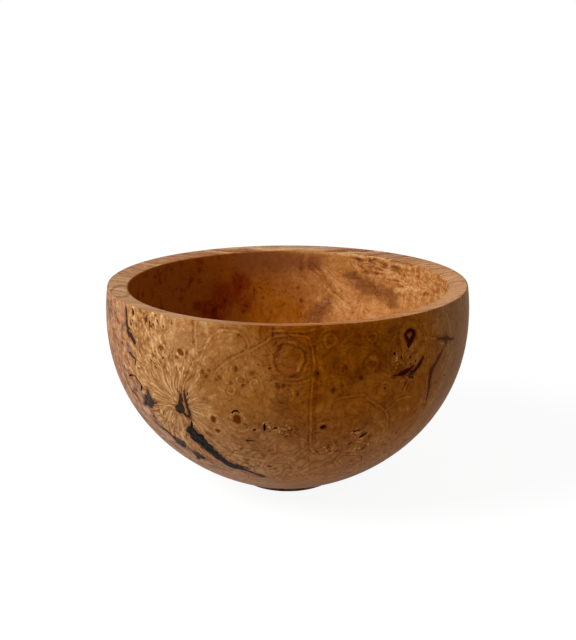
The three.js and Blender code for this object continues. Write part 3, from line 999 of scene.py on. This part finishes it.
long_rays = ray_place(19.0, 9.0).uneven(1.0, 2.0, 0.6)
ray_chips = ray_place(20.0, 2.4).chips(1.0)
short_rays = ray_place(21.0, 2.2).uneven(1.0, 2.0, 0.6)
ray_flecks = ray_place(22.0, 2.0).noise(1.0, 1.0).fall(0.30, 0.40)
fan_side = to_right.fall(2.0, 17.0) * y.fall(-15.0, -5.0) * outside * (1 - in_bark)
fan = reach.fall(14.0, 26.0) * reach.rise(0.5, 3.0) * fan_side
flaky = lively * reach.rise(9.0, 16.0)
figure = figure * (1 - fan * 0.7) + (long_rays * 4.3 - 0.06) * fan
figure = figure * (1 - flaky * 0.4) + (short_rays * 3.0 + ray_chips * 0.65 - ray_flecks * 0.50) * flaky
print("the rays start at", [round(value, 1) for value in middle])

# %% [markdown]
# ### Eyes, buds and lines
# An eye is a bud cut across: rings round a dark point. A bud that was cut near its tip is only a brown spot.

# %% Mark out the eyes and the buds
# Each is (turn, height, radius).
EYES = [
    (24.1, 81.3, 2.6), (24.2, 71.7, 3.8), (-7.9, 72.7, 1.7), (-14.6, 70.4, 2.6), (-16.0, 62.1, 2.3),
    (-10.7, 61.6, 2.0), (29.1, 60.7, 3.4), (-49.5, 64.9, 1.9), (11.7, 81.8, 3.2), (-0.2, 61.2, 3.6),
    (-9.6, 65.3, 2.4), (-13.2, 66.9, 2.2), (37.3, 79.2, 6.2), (14.9, 70.6, 2.4),
]
BUDS = [
    (-10.0, 69.4, 1.7), (-16.0, 65.0, 1.2), (-19.3, 66.8, 1.3), (-23.5, 66.7, 1.5), (-24.5, 68.2, 1.2),
    (-22.5, 69.1, 1.1), (-20.3, 65.9, 1.2), (-2.9, 65.1, 1.5), (-1.2, 64.6, 1.3), (-12.7, 64.5, 1.0),
    (12.9, 62.4, 1.6), (16.0, 71.1, 1.4), (-14.6, 70.4, 1.5), (-7.9, 72.7, 0.8), (15.6, 64.0, 1.2),
    (2.8, 61.5, 1.2), (8.0, 69.6, 2.0), (21.0, 66.5, 1.5), (-4.9, 71.6, 0.8), (-38.5, 74.8, 1.5),
    (-43.3, 67.8, 1.2), (-7.0, 26.7, 1.4), (-4.6, 25.7, 1.2),
]
DARK_BUDS = [
    (-15.1, 50.6, 1.8), (-15.2, 49.5, 1.8), (-22.9, 49.3, 1.3), (-22.9, 48.2, 1.2), (-22.3, 43.5, 1.1),
    (-31.8, 74.9, 1.3), (-31.3, 74.2, 1.2), (10.8, 46.9, 1.4), (38.0, 63.6, 1.6),
]
BIG_EYE = (0.6, 74.6, 8.0)
print(len(EYES) + 1, "eyes and", len(BUDS) + len(DARK_BUDS), "buds")

# %% [markdown]
# ### Rings round the eyes
# Each spot is found by its distance from a place on the outside, divided by its own size, so that one set
# of rings serves them all. The photograph shows neither the back nor the bottom, so small buds are strewn
# over those by chance.

# %% Draw the rings and the buds
FAR_BUD_SPACING = 9.0


def from_spots(place, spots, surface=on_outside):
    """How far a place is from the nearest of these spots, as a share of that spot's radius."""
    shares = [place.distance(surface(turn, height)[0]) / size for turn, height, size in spots]
    return reduce(Shade.least, shares)


shaken = place.warped(4.0, 3.0).warped(1.6, 0.9)
in_eye = from_spots(shaken, EYES)
in_bud = from_spots(place.warped(1.6, 1.2), BUDS)
in_dark_bud = from_spots(place.warped(1.6, 0.7), DARK_BUDS)
in_big_eye = from_spots(place.warped(5.0, 3.4).warped(2.0, 1.0), [BIG_EYE])
faint = place.noise(3.0, 1.0).rise(0.40, 0.58) * 0.65 + 0.35
eye_rings = (in_eye.ridge(0.66, 0.18) * 0.36 - in_eye.ridge(1.0, 0.20) * 0.38
             - in_eye.ridge(0.36, 0.14) * 0.36 - in_eye.fall(0.08, 0.20) * 0.40) * faint
right_of_eye = (x - float(on_outside(*BIG_EYE[:2])[0].x)).rise(1.0, 4.0)
big_rings = (in_big_eye.ridge(0.60, 0.12) * right_of_eye * faint * 1.2
             + in_big_eye.ridge(0.90, 0.08) * 0.26 * faint
             - in_big_eye.ridge(0.74, 0.14) * (0.25 + faint * 0.30)
             - in_big_eye.ridge(1.04, 0.10) * 0.26 * faint + in_big_eye.ridge(0.46, 0.10) * 0.16
             - in_big_eye.fall(0.10, 0.45) * mottle.rise(-0.05, 0.10) * 0.60)
buds = (in_bud.fall(0.3, 1.1) * 0.70 + in_dark_bud.fall(0.55, 1.10) * 1.1
        - in_dark_bud.ridge(1.45, 0.25) * 0.28)
far_side = (y.rise(-20.0, 5.0) + z.fall(8.0, 20.0)).least(1.0) * outside
far_side = far_side + (y.fall(-20.0, 5.0) + z.fall(34.0, 50.0)).least(1.0) * inside
far_bud = drifting.cells(FAR_BUD_SPACING)
far_chance = drifting.cells(FAR_BUD_SPACING, "Color").parts()[0].rise(0.35, 0.55) * (1 - along * 0.6)
far_marks = (far_bud.ridge(0.34, 0.07) * 0.30 - far_bud.ridge(0.46, 0.06) * 0.30
             - far_bud.fall(0.10, 0.22) * 0.75)
marks = (eye_rings + big_rings - buds) * outside + far_marks * far_chance * far_side
print("rings and buds drawn")

# %% [markdown]
# ### Crumbly places
# Where many buds crowd together the tool leaves pale crumbs and dark pinholes between them. These places,
# and some darker and brighter clouds, are laid on where this bowl has them.

# %% Lay on the crumbly places and the clouds
CRUMBLY = [
    (34.6, 70.8, 6.5), (-1.4, 45.1, 5.0), (-6.0, 46.4, 3.6), (26.4, 34.5, 5.5), (22.0, 41.0, 5.0),
    (50.6, 71.4, 4.0), (37.0, 64.0, 4.0), (-45.0, 84.0, 5.0), (-14.0, 27.5, 6.0), (14.0, 36.0, 5.0),
]
DARK_CLOUDS = [
    (-1.5, 81.0, 6.0), (9.5, 80.0, 7.0), (17.5, 82.0, 5.0), (3.0, 79.5, 4.5), (-6.5, 85.0, 4.0),
    (12.0, 73.0, 5.0), (30.5, 82.0, 5.0), (20.0, 66.0, 4.5), (-1.0, 57.0, 5.5), (31.0, 56.0, 4.0),
]
BRIGHT_CLOUDS = [
    (24.2, 72.0, 3.4), (24.1, 81.3, 1.8), (36.0, 74.0, 5.0), (13.0, 68.0, 4.0), (4.5, 66.0, 4.5),
]
soft = place.warped(9.0, 7.0).warped(3.0, 2.0)


def patch(spots, low, high, surface=on_outside):
    """1 in the middle of these spots and 0 beyond them, with soft wandering edges."""
    return from_spots(soft, spots, surface).fall(low, high)


crumbly = patch(CRUMBLY, 0.4, 1.15) * outside
marks = marks + (crumbs * 0.85 - 0.20 + mottle * 1.5) * crumbly
marks = marks - patch(DARK_CLOUDS, 0.2, 1.3) * outside * 0.30
marks = marks + patch(BRIGHT_CLOUDS, 0.2, 1.2) * outside * 0.16
print(len(CRUMBLY), "crumbly places")

# %% [markdown]
# ### Lines of the growth layers
# On the real bowl each line is a thin pale layer between darker ones, and it breaks off here and there.
# The stored distance to one side of the line gives a pale ridge with a dark one to the left and right,
# and noise moves and breaks it, so that no line looks ruled.

# %% Draw the lines of the growth layers
LINE_WOBBLE = 1.3


def line_marks(name, wobble):
    """The distance to one side of the nearest line, and a mask that is 1 beside a line only."""
    beside, apart, strength = start.stored(name, "Vector").parts()
    return beside + wobble, apart.fall(1.3, 2.4) * strength * outside


wobble = place.uneven(3.0) * LINE_WOBBLE
broken = place.noise(2.4).rise(0.34, 0.60) * 0.6 + 0.4
for name in ("pale_lines", "crossing_lines"):
    beside, nearby = line_marks(name, wobble)
    marks = marks + (beside.ridge(0.0, 0.46) * 0.36 * broken - beside.ridge(-0.90, 0.60) * 0.45 * broken
                     - beside.ridge(0.80, 0.45) * 0.30) * nearby
beside, nearby = line_marks("dark_lines", wobble)
marks = marks - beside.ridge(0.0, 0.65) * nearby * 0.60 * broken
print("three sets of lines drawn")

# %% [markdown]
# ### The hollow
# Inside, the left is a deep smooth red-brown with small darker buds, and the right is tan with broad brown
# and peach patches. The patches are laid on too, by their places on the inside of the wall.

# %% Lay on the patches of the hollow
def on_inside(turn, height):
    radius, angle = float(hollow_radius(height)), math.radians(turn)
    return Vector((radius * math.sin(angle), -radius * math.cos(angle), height)), None


HOLLOW_BUDS = [
    (-108.0, 75.8, 2.2), (-127.4, 82.7, 1.2), (-133.2, 85.0, 1.3), (-139.3, 63.6, 2.6),
    (-141.8, 74.4, 1.6), (-165.6, 68.3, 1.2), (-162.6, 61.0, 1.7), (-169.3, 68.1, 0.9),
    (-170.1, 64.3, 0.9), (-166.3, 66.4, 1.0), (-160.1, 69.7, 1.2), (-160.7, 58.4, 1.4),
    (-153.1, 64.3, 1.6), (-147.7, 60.1, 2.0), (174.6, 62.7, 1.2), (-178.9, 60.8, 1.0),
    (-171.4, 53.7, 1.4), (176.1, 68.4, 1.0), (174.5, 78.0, 1.5), (-132.0, 68.0, 1.6), (-121.0, 78.0, 1.3),
]
RED_PATCHES = [(-152.0, 66.0, 9.0), (-146.0, 60.0, 9.0), (-160.0, 70.0, 7.0), (-163.0, 61.0, 6.0)]
BROWN_PATCHES = [
    (153.5, 74.8, 3.4), (150.5, 73.2, 4.2), (147.0, 72.0, 4.6), (143.0, 71.2, 4.6), (139.0, 70.2, 4.4),
    (135.0, 69.2, 4.0), (132.0, 67.8, 3.2), (134.0, 66.0, 2.6), (167.4, 55.4, 4.4), (165.4, 58.8, 4.2),
    (163.4, 62.4, 3.2),
]
GREY_PATCHES = [
    (-164.0, 83.0, 7.0), (-172.0, 82.0, 6.5), (-179.0, 81.5, 6.5), (175.0, 81.0, 5.0), (168.5, 81.0, 4.0),
    (149.6, 83.8, 2.6), (144.0, 83.6, 2.6), (138.3, 83.5, 2.6), (132.2, 83.7, 2.6),
]
PEACH_PATCHES = [
    (165.0, 77.4, 2.2), (161.8, 74.8, 2.6), (160.0, 71.4, 3.2), (157.6, 69.0, 3.6), (155.7, 66.6, 4.0),
    (154.0, 63.6, 4.4), (158.0, 60.4, 4.0), (154.8, 57.0, 4.5), (148.1, 59.9, 5.0), (141.2, 61.4, 4.6),
    (136.0, 62.6, 3.6), (127.0, 77.0, 5.0), (118.0, 79.0, 5.0), (139.0, 78.0, 4.0), (128.0, 68.0, 2.4),
]
AMBER_PATCHES = [
    (-172.0, 56.5, 9.0), (-177.0, 60.0, 9.0), (-166.0, 55.0, 8.0), (177.0, 57.0, 6.0), (-172.0, 66.0, 7.0),
]
in_hollow_bud = from_spots(place.warped(3.0, 2.6).warped(1.0, 1.4), HOLLOW_BUDS, on_inside)
brown_patch = patch(BROWN_PATCHES, 0.5, 1.4, on_inside) * inside
grey_patch = patch(GREY_PATCHES, 0.3, 1.5, on_inside) * inside
peach_patch = patch(PEACH_PATCHES, 0.4, 1.5, on_inside) * inside
amber_patch = patch(AMBER_PATCHES, 0.0, 1.6, on_inside) * inside
left_of_hollow = (x + clouds * 60.0).fall(-30.0, 10.0) * inside
figure = figure * (1 - left_of_hollow * 0.60)
marks = marks - (in_hollow_bud.ridge(0.75, 0.40) * 0.30 + in_hollow_bud.fall(0.2, 0.7) * 0.70) * inside
print(len(HOLLOW_BUDS), "buds in the hollow")

# %% [markdown]
# ### Flecks, feathers and the curl on the rim
# The wall of the hollow is flecked all over. On its right the grain feathers out into soft plumes,
# as it does where two growths fork, and beside it pale flakes crowd together. At the left end of the
# rim a dark layer curls back. All of these are noise that is drawn out one way and kept to its own place.

# %% Draw the flecks, the feathers and the curl on the rim
FEATHERED = [
    (169.0, 79.0, 3.4), (166.0, 76.5, 3.6), (163.5, 73.5, 4.0), (161.0, 70.0, 4.6), (160.0, 66.0, 5.0),
    (157.0, 62.0, 5.0),
]
RIM_CURL = (-67.8, -6.2, 86.6)
RIM_CURL_RADIUS = 3.9

spatter = place.warped(3.0, 2.0).noise(2.2, 1.0).fall(0.34, 0.42) * place.noise(12.0, 1.0).rise(0.45, 0.60)
flecks = place.warped(2.4, 2.0).noise(1.3, 1.0).fall(0.37, 0.44) * place.noise(9.0, 1.0).rise(0.42, 0.56)
marks = marks - flecks * inside * (1 - grey_patch) * 0.35
licks = place.warped(4.0, 3.0).stretched(1.0, 1.0, 0.30).uneven(2.0, 2.0, 0.6)
marks = marks + licks * turn.size().rise(125.0, 150.0) * z.fall(60.0, 74.0) * inside * 1.1
fall_x, fall_y, fall_z = place.warped(6.0, 3.0).parts()
feathers = start.gathered(fall_x + fall_z, fall_y * 0.3, (fall_x - fall_z) * 0.12).uneven(2.2, 2.0, 0.6)
feathered = patch(FEATHERED, 0.5, 1.3, on_inside) * inside
marks = marks + feathers * feathered * 2.4
marks = marks - spatter * inside * (1 - grey_patch) * (1 - left_of_hollow * 0.6) * 0.30
flaked = turn.rise(60.0, 90.0) * turn.fall(148.0, 160.0) * z.rise(64.0, 76.0) * inside
dashes = place.warped(6.0, 4.0).warped(2.0, 1.2).stretched(0.22, 0.22, 1.5).uneven(2.2, 2.0, 0.6)
marks = marks + (crumbs * 0.25 + mottle * 1.2 + dashes * 2.6) * flaked * (1 - brown_patch * 0.7)
marks = marks + dashes * (1 - left_of_hollow) * (1 - flaked) * inside * 0.5
in_rim_curl = place.warped(4.0, 2.4).stretched(1.0, 0.33, 1.0).distance(RIM_CURL) / RIM_CURL_RADIUS
marks = marks - in_rim_curl.ridge(1.0, 0.30) * on_rim * 0.60
# A painted highlight: a pale line along the top of the inner edge at the back right, where the rounded edge
# catches the light.
painted_edge_highlight = z.rise(84.6, 85.4) * x.rise(-6.0, 4.0) * x.fall(30.0, 42.0) * y.rise(20.0, 40.0) * inside
marks = marks + painted_edge_highlight * 0.40
print("the hollow is flecked, and the rim has its curl")

# %% [markdown]
# ### Colour
# The colour runs from golden at the left to a dark amber at the right, partly the burl's own colour and
# partly painted shade on the side away from the lamp. It is greyer and pinker beyond the bark edge, at the
# far right and underneath; at the far right and underneath that is partly the wood's colour and partly a
# painted sheen. The hollow is redder and darker on its left, partly its own colour and partly painted shade.

# %% Mix the colours of the wood
GOLDEN = srgb(170, 122, 75)
TAN = srgb(151, 96, 42)
AMBER = srgb(129, 66, 3)
AMBER_RED = srgb(118, 50, 2)
AMBER_OLIVE = srgb(138, 78, 8)
AMBER_LOW = srgb(150, 84, 19)
BARK_PINK = srgb(162, 117, 84)
BARK_LOW = srgb(188, 147, 119)
BARK_ORANGE = srgb(194, 130, 84)
BARK_GREY = srgb(126, 94, 78)
GREY_TAN = srgb(144, 98, 58)
UNDERSIDE = srgb(168, 114, 68)
UNDERSIDE_LEFT = srgb(186, 136, 94)
RIM_PEACH = srgb(182, 136, 96)
RIM_ORANGE = srgb(170, 100, 34)
RIM_TAN = srgb(176, 130, 88)
RIM_BROWN = srgb(150, 88, 56)
RIM_DUSK = srgb(166, 112, 76)
RIM_GOLD = srgb(200, 144, 96)
HOLLOW_RED = srgb(150, 79, 20)
HOLLOW_TAN = srgb(182, 120, 62)
HOLLOW_BROWN = srgb(112, 58, 28)
HOLLOW_GREY = srgb(134, 76, 40)
HOLLOW_PEACH = srgb(206, 142, 84)
HOLLOW_AMBER = srgb(154, 84, 5)
HOLLOW_DARK = srgb(114, 30, 0)
DEEPEN = (0.36, 0.20, 0.09, 1)
CREAM = srgb(226, 182, 128)
PALE_TAN = srgb(202, 148, 92)
AMBER_CREAM = srgb(180, 108, 14)
PIT_SHADE = srgb(62, 24, 10)
STAIN = srgb(150, 120, 100)
print("the colours of the wood are mixed")

# %% [markdown]
# ### Ground colours
# The ground colours are laid like coats of paint, each with the share of the wood that it covers. Noise
# moves their edges about, so that none of them ends in a straight line.

# %% Lay the ground colours
# sway carries the sweep from golden at the left to dark amber at the right: partly the wood's own colour and
# partly painted shade on the side away from the lamp.
sway = turn + drifting.uneven(16.0) * 34.0
flames = drifting.stretched(1.0, 1.0, 0.5).noise(6.0)
on_right = sway.rise(-12.0, 12.0)
low_or_right = ((z + drifting.uneven(12.0) * 24.0).fall(52.0, 72.0) + sway.rise(22.0, 36.0)).least(1.0)
# The underside is painted paler than the wall above it, and palest on the left towards the lamp: partly the
# wood's own colour and partly painted light and sheen.
underside = (x + drifting.uneven(14.0) * 30.0).rise(-26.0, 10.0).between(UNDERSIDE_LEFT, UNDERSIDE)
colour = painted(
    GOLDEN,
    (sway.rise(-38.0, -12.0), TAN),
    ((sway + (z - 70.0).most(0.0) * 0.5).rise(-12.0, 12.0), AMBER),
    (low_or_right * on_right, AMBER_LOW),
    (flames.rise(0.50, 0.64) * on_right * (1 - low_or_right * 0.7) * 0.6, AMBER_RED),
    (flames.fall(0.36, 0.50) * on_right * 0.4, AMBER_OLIVE),
    # GREY_TAN greys and pales the far right: partly the wood's own colour and partly a painted sheen.
    ((turn + place.uneven(7.0) * 12.0).rise(43.0, 58.0), GREY_TAN),
    ((y + drifting.uneven(16.0) * 30.0).rise(12.0, 40.0), TAN),
    ((z + drifting.uneven(10.0) * 26.0).fall(18.0, 56.0), underside),
    (in_bark, z.fall(30.0, 62.0).between(BARK_PINK, BARK_LOW)),
    (place.noise(7.0).rise(0.48, 0.64) * in_bark, BARK_GREY),
    (bark_flecks * in_bark * 0.55, BARK_ORANGE),
)
blotches = curled.uneven(7.0, 3.0, 0.6)
# Inside, the left is redder and darker than the right, with dark red patches: partly the wood's own colour
# and partly painted shade where the lamp does not reach.
hollow = painted(
    (x + drifting.uneven(22.0) * 50.0).rise(-24.0, 32.0).between(HOLLOW_RED, HOLLOW_TAN),
    (blotches.rise(0.02, 0.16) * left_of_hollow * 0.6, HOLLOW_DARK),
    (patch(RED_PATCHES, 0.3, 1.4, on_inside) * left_of_hollow * 0.8, HOLLOW_DARK),
    (blotches.fall(-0.16, -0.02) * left_of_hollow * 0.5, HOLLOW_AMBER),
    (amber_patch * 0.9, HOLLOW_AMBER),
    (peach_patch * 0.6, HOLLOW_PEACH),
    (grey_patch * 0.85, HOLLOW_GREY),
    (brown_patch * 0.60, HOLLOW_BROWN),
)
at_inner_edge = depth.rise(4.5, 8.0) * turn.size().rise(110.0, 135.0) * x.fall(-10.0, 20.0)
rim = painted(
    (x + bands * 30.0).rise(-40.0, 0.0).between(RIM_TAN, RIM_ORANGE),
    ((y + bands * 30.0).rise(-50.0, -10.0), RIM_PEACH),
    (x.size().rise(5.0, 30.0) * y.rise(-5.0, 25.0) * 0.8, RIM_DUSK),
    (x.rise(35.0, 60.0) * y.fall(30.0, 50.0) * 0.8, RIM_GOLD),
    ((bands + streaks * 0.5).rise(0.02, 0.18) * x.rise(-10.0, 40.0) * 0.9, RIM_BROWN),
    (at_inner_edge * 0.6, RIM_BROWN),
)
colour = painted(colour, (inside, hollow), (on_rim, rim))
print("the ground colours are laid")

# %% [markdown]
# ### Light and dark figure
# Here the figure and the marks come in: dark tones deepen the colour of their own part of the bowl, and
# pale tones lift it towards cream. The wood beside the fills is stained, the pits are painted dark inside as
# shade, and the surface is almost without gloss.

# %% Darken and lift the colours by the tone
SHEEN = 0.01
RELIEF_STRENGTH = 0.12
RELIEF_HEIGHT = 0.1 * MM

tone = figure + marks
colour = (tone * -1.0).most(0.0).least(1.0).between(colour, DEEPEN, "MULTIPLY")
# The pale tones are creamiest at the front left and darkest in the amber part: partly the wood's own colour
# and partly painted light and shade, like the ground under them.
in_amber = sway.rise(-26.0, 2.0) * sway.fall(40.0, 52.0) * z.rise(44.0, 62.0) * (1 - crumbly * 0.8)
cream = painted(
    (sway.fall(-26.0, 2.0) * y.fall(-20.0, 10.0)).between(PALE_TAN, CREAM),
    (in_amber * outside, AMBER_CREAM),
    ((on_rim + inside).least(1.0), CREAM),
    # On the left of the hollow the pale tones lift only to amber: partly the wood's own colour and partly
    # painted shade.
    ((x + clouds * 30.0).fall(-8.0, 22.0) * inside, AMBER_CREAM),
)
colour = tone.most(0.0).least(1.0).between(colour, cream)
stain = (start.stored("from_fills") + place.uneven(1.6) * 1.8).fall(-0.1, 1.5) * outside
colour = (stain * 0.55).between(colour, STAIN, "MULTIPLY")
# Painted shade: the pits and checks are darkened inside, by their depth below the turned surface, on top of
# the real shadow that their hollows catch.
colour = in_pit.between(colour, PIT_SHADE)
feed(wood_shader, "Base Color", colour)
feed(wood_shader, "Roughness", mottle * 0.25 + 0.46 + in_pit * 0.3)
wood_shader.inputs["Specular IOR Level"].default_value = SHEEN
relief = start.node("ShaderNodeBump", {"Height": grain * 0.5 + streaks * along * 0.5,
                                       "Strength": RELIEF_STRENGTH, "Distance": RELIEF_HEIGHT})
feed(wood_shader, "Normal", relief)
print("the wood is coloured")

# %% [markdown]
# ## The resin
# The fills are slate-black and were sanded with the wood, so they are smooth but not glassy. Those on the
# right lie in reddish wood and look like dark maroon where the resin is thin.

# %% Pour the resin
SLATE = srgb(50, 41, 38)
SLATE_DARK = srgb(22, 16, 15)
MAROON = srgb(52, 10, 2)
EARTH = srgb(80, 38, 12)
BARK_BROWN = srgb(66, 40, 28)
SLATE_PALE = srgb(72, 60, 55)
SLATE_TAN = srgb(84, 62, 52)
resin, resin_shader, start = new_finish("dark_resin")
place_in_resin = start.in_millimetres()
across, back, up = place_in_resin.parts()
resin_turn = turn_of(across, back)
thin_there = place_in_resin.noise(2.2).rise(0.38, 0.60)
resin_colour = painted(
    place_in_resin.noise(1.6, 3.0).rise(0.35, 0.65).between(SLATE_DARK, SLATE),
    (across.rise(10.0, 30.0), MAROON),
    (across.rise(52.0, 57.0), EARTH),
    (up.rise(44.0, 54.0) * across.fall(-20.0, 0.0) * (thin_there * 0.6 + 0.4), BARK_BROWN),
    (resin_turn.fall(-38.0, -34.5) * up.fall(56.0, 62.0) * thin_there, SLATE_PALE),
    (up.fall(18.0, 27.0) * across.fall(-10.0, 10.0) * thin_there * 0.6, SLATE_TAN),
)
feed(resin_shader, "Base Color", resin_colour)
feed(resin_shader, "Roughness", place_in_resin.noise(3.0) * 0.25 + 0.28)
resin_shader.inputs["Specular IOR Level"].default_value = SHEEN
print("the resin is mixed")

# %% [markdown]
# ## Sanding
# The mesh is fine but still made of flat faces. Shading them smoothly hides that, as sanding hides the
# tool marks, while the sharper edges of the pits and the fills stay crisp.

# %% Smooth the pieces and give them their finish
SMOOTH_BELOW = 40
for piece, finish in [(bowl, wood)] + [(piece, resin) for piece in fill_pieces.values()]:
    only(piece)
    bpy.ops.object.shade_smooth_by_angle(angle=math.radians(SMOOTH_BELOW))
    piece.data.materials.clear()
    piece.data.materials.append(finish)
print("finished", len(fill_pieces) + 1, "pieces")

# %% [markdown]
# ## Light and floor
# A large soft lamp stands to the left, in front of the bowl and above it, as a window would. It leaves the
# right side and the left of the hollow in shade, which is what gives the bowl its roundness. A weaker lamp
# on the right and a pale sky fill the shadows. The sky looks plain white but lights the bowl only weakly.

# %% Light the bowl
KEY_PLACE = (-0.69, -0.40, 0.72)
KEY_SIZE = 0.5
KEY_POWER = 11.0
FILL_PLACE = (0.9, -0.5, 0.5)
FILL_SIZE = 0.8
FILL_POWER = 1.0
SKY_STRENGTH = 0.30
LAMPS_AIM = Vector((0, 0, 45 * MM))


def lamp(name, place, size, power):
    data = bpy.data.lights.new(name, "AREA")
    data.shape = "DISK"
    data.size = size
    data.energy = power
    light = bpy.data.objects.new(name, data)
    light.location = place
    light.rotation_euler = (LAMPS_AIM - Vector(place)).to_track_quat("-Z", "Y").to_euler()
    bpy.context.collection.objects.link(light)


lamp("window", KEY_PLACE, KEY_SIZE, KEY_POWER)
lamp("fill", FILL_PLACE, FILL_SIZE, FILL_POWER)


def seen_white(start):
    """1 for the rays that see the backdrop directly or in a reflection, 0 for those that only light it."""
    path = start.node("ShaderNodeLightPath", output="Is Camera Ray")
    glossy = start.node("ShaderNodeLightPath", output="Is Glossy Ray")
    through = start.node("ShaderNodeLightPath", output="Is Transmission Ray")
    return path.most(glossy).most(through)


world = bpy.data.worlds.new("studio")
world.use_nodes = True
bpy.context.scene.world = world
sky = Shade(world.node_tree)
background = world.node_tree.nodes["Background"]
background.inputs["Color"].default_value = (1, 1, 1, 1)
feed(background, "Strength", seen_white(sky) * (1 - SKY_STRENGTH) + SKY_STRENGTH)
print("lit from the left at", KEY_POWER, "watts")

# %% [markdown]
# ### The floor
# The bowl stands on a pale floor that throws light back on its underside. Seen directly it is white paper
# with the bowl's shadow on it: a glow makes it nearly white, a little diffuse grey takes up the shadow,
# and further out it turns into plain white, so that no horizon shows.

# %% Lay the floor
FLOOR_SIZE = 6.0
FLOOR_GAP = 0.02 * MM
FLOOR_COLOUR = (0.62, 0.62, 0.62, 1)
FLOOR_ROUGHNESS = 0.9
FLOOR_GLOW = 0.92
FLOOR_SHADE = 0.12
PLAIN_FROM, PLAIN_BEYOND = 0.12, 0.45

bpy.ops.object.select_all(action="DESELECT")
bpy.ops.mesh.primitive_plane_add(size=FLOOR_SIZE, location=(0, 0, -FLOOR_GAP))
floor = bpy.context.active_object
floor.name = floor.data.name = "floor"
floor_finish, floor_shader, start = new_finish("pale_floor")
floor_shader.inputs["Base Color"].default_value = FLOOR_COLOUR
floor_shader.inputs["Roughness"].default_value = FLOOR_ROUGHNESS
floor_shader.inputs["Specular IOR Level"].default_value = 0.0
tree = floor_finish.node_tree
glow = start.node("ShaderNodeEmission", {"Color": (1, 1, 1, 1), "Strength": FLOOR_GLOW}, "Emission")
shade_share = start.node("ShaderNodeBsdfDiffuse", {"Color": (FLOOR_SHADE,) * 3 + (1,)}, "BSDF")
near_floor = start.node("ShaderNodeAddShader", {0: glow, 1: shade_share})
plain_white = start.node("ShaderNodeEmission", {"Color": (1, 1, 1, 1), "Strength": 1.0}, "Emission")
away = start.node("ShaderNodeTexCoord", output="Object").vector("LENGTH", output="Value")
far_out = away.rise(PLAIN_FROM, PLAIN_BEYOND)
seen = start.node("ShaderNodeMixShader", {0: far_out, 1: near_floor, 2: plain_white})
lit = Shade(tree, floor_shader.outputs["BSDF"])
floor_mix = start.node("ShaderNodeMixShader", {0: seen_white(start), 1: lit, 2: seen})
tree.links.new(floor_mix.socket, tree.nodes["Material Output"].inputs["Surface"])
floor.data.materials.append(floor_finish)
floor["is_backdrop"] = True
print("floor laid,", FLOOR_SIZE, "metres wide")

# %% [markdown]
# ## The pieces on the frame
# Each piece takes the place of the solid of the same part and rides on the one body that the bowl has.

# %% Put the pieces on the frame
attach(bowl, "root")
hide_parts("bowl_body")
for node, piece in fill_pieces.items():
    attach(piece, "root")
    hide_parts(node)

bpy.context.scene.view_settings.view_transform = "Standard"
boxes = {"cad": cad_box, "visual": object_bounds()}
for name, box in boxes.items():
    print(name, [[round(value / MM, 2) for value in corner] for corner in box])
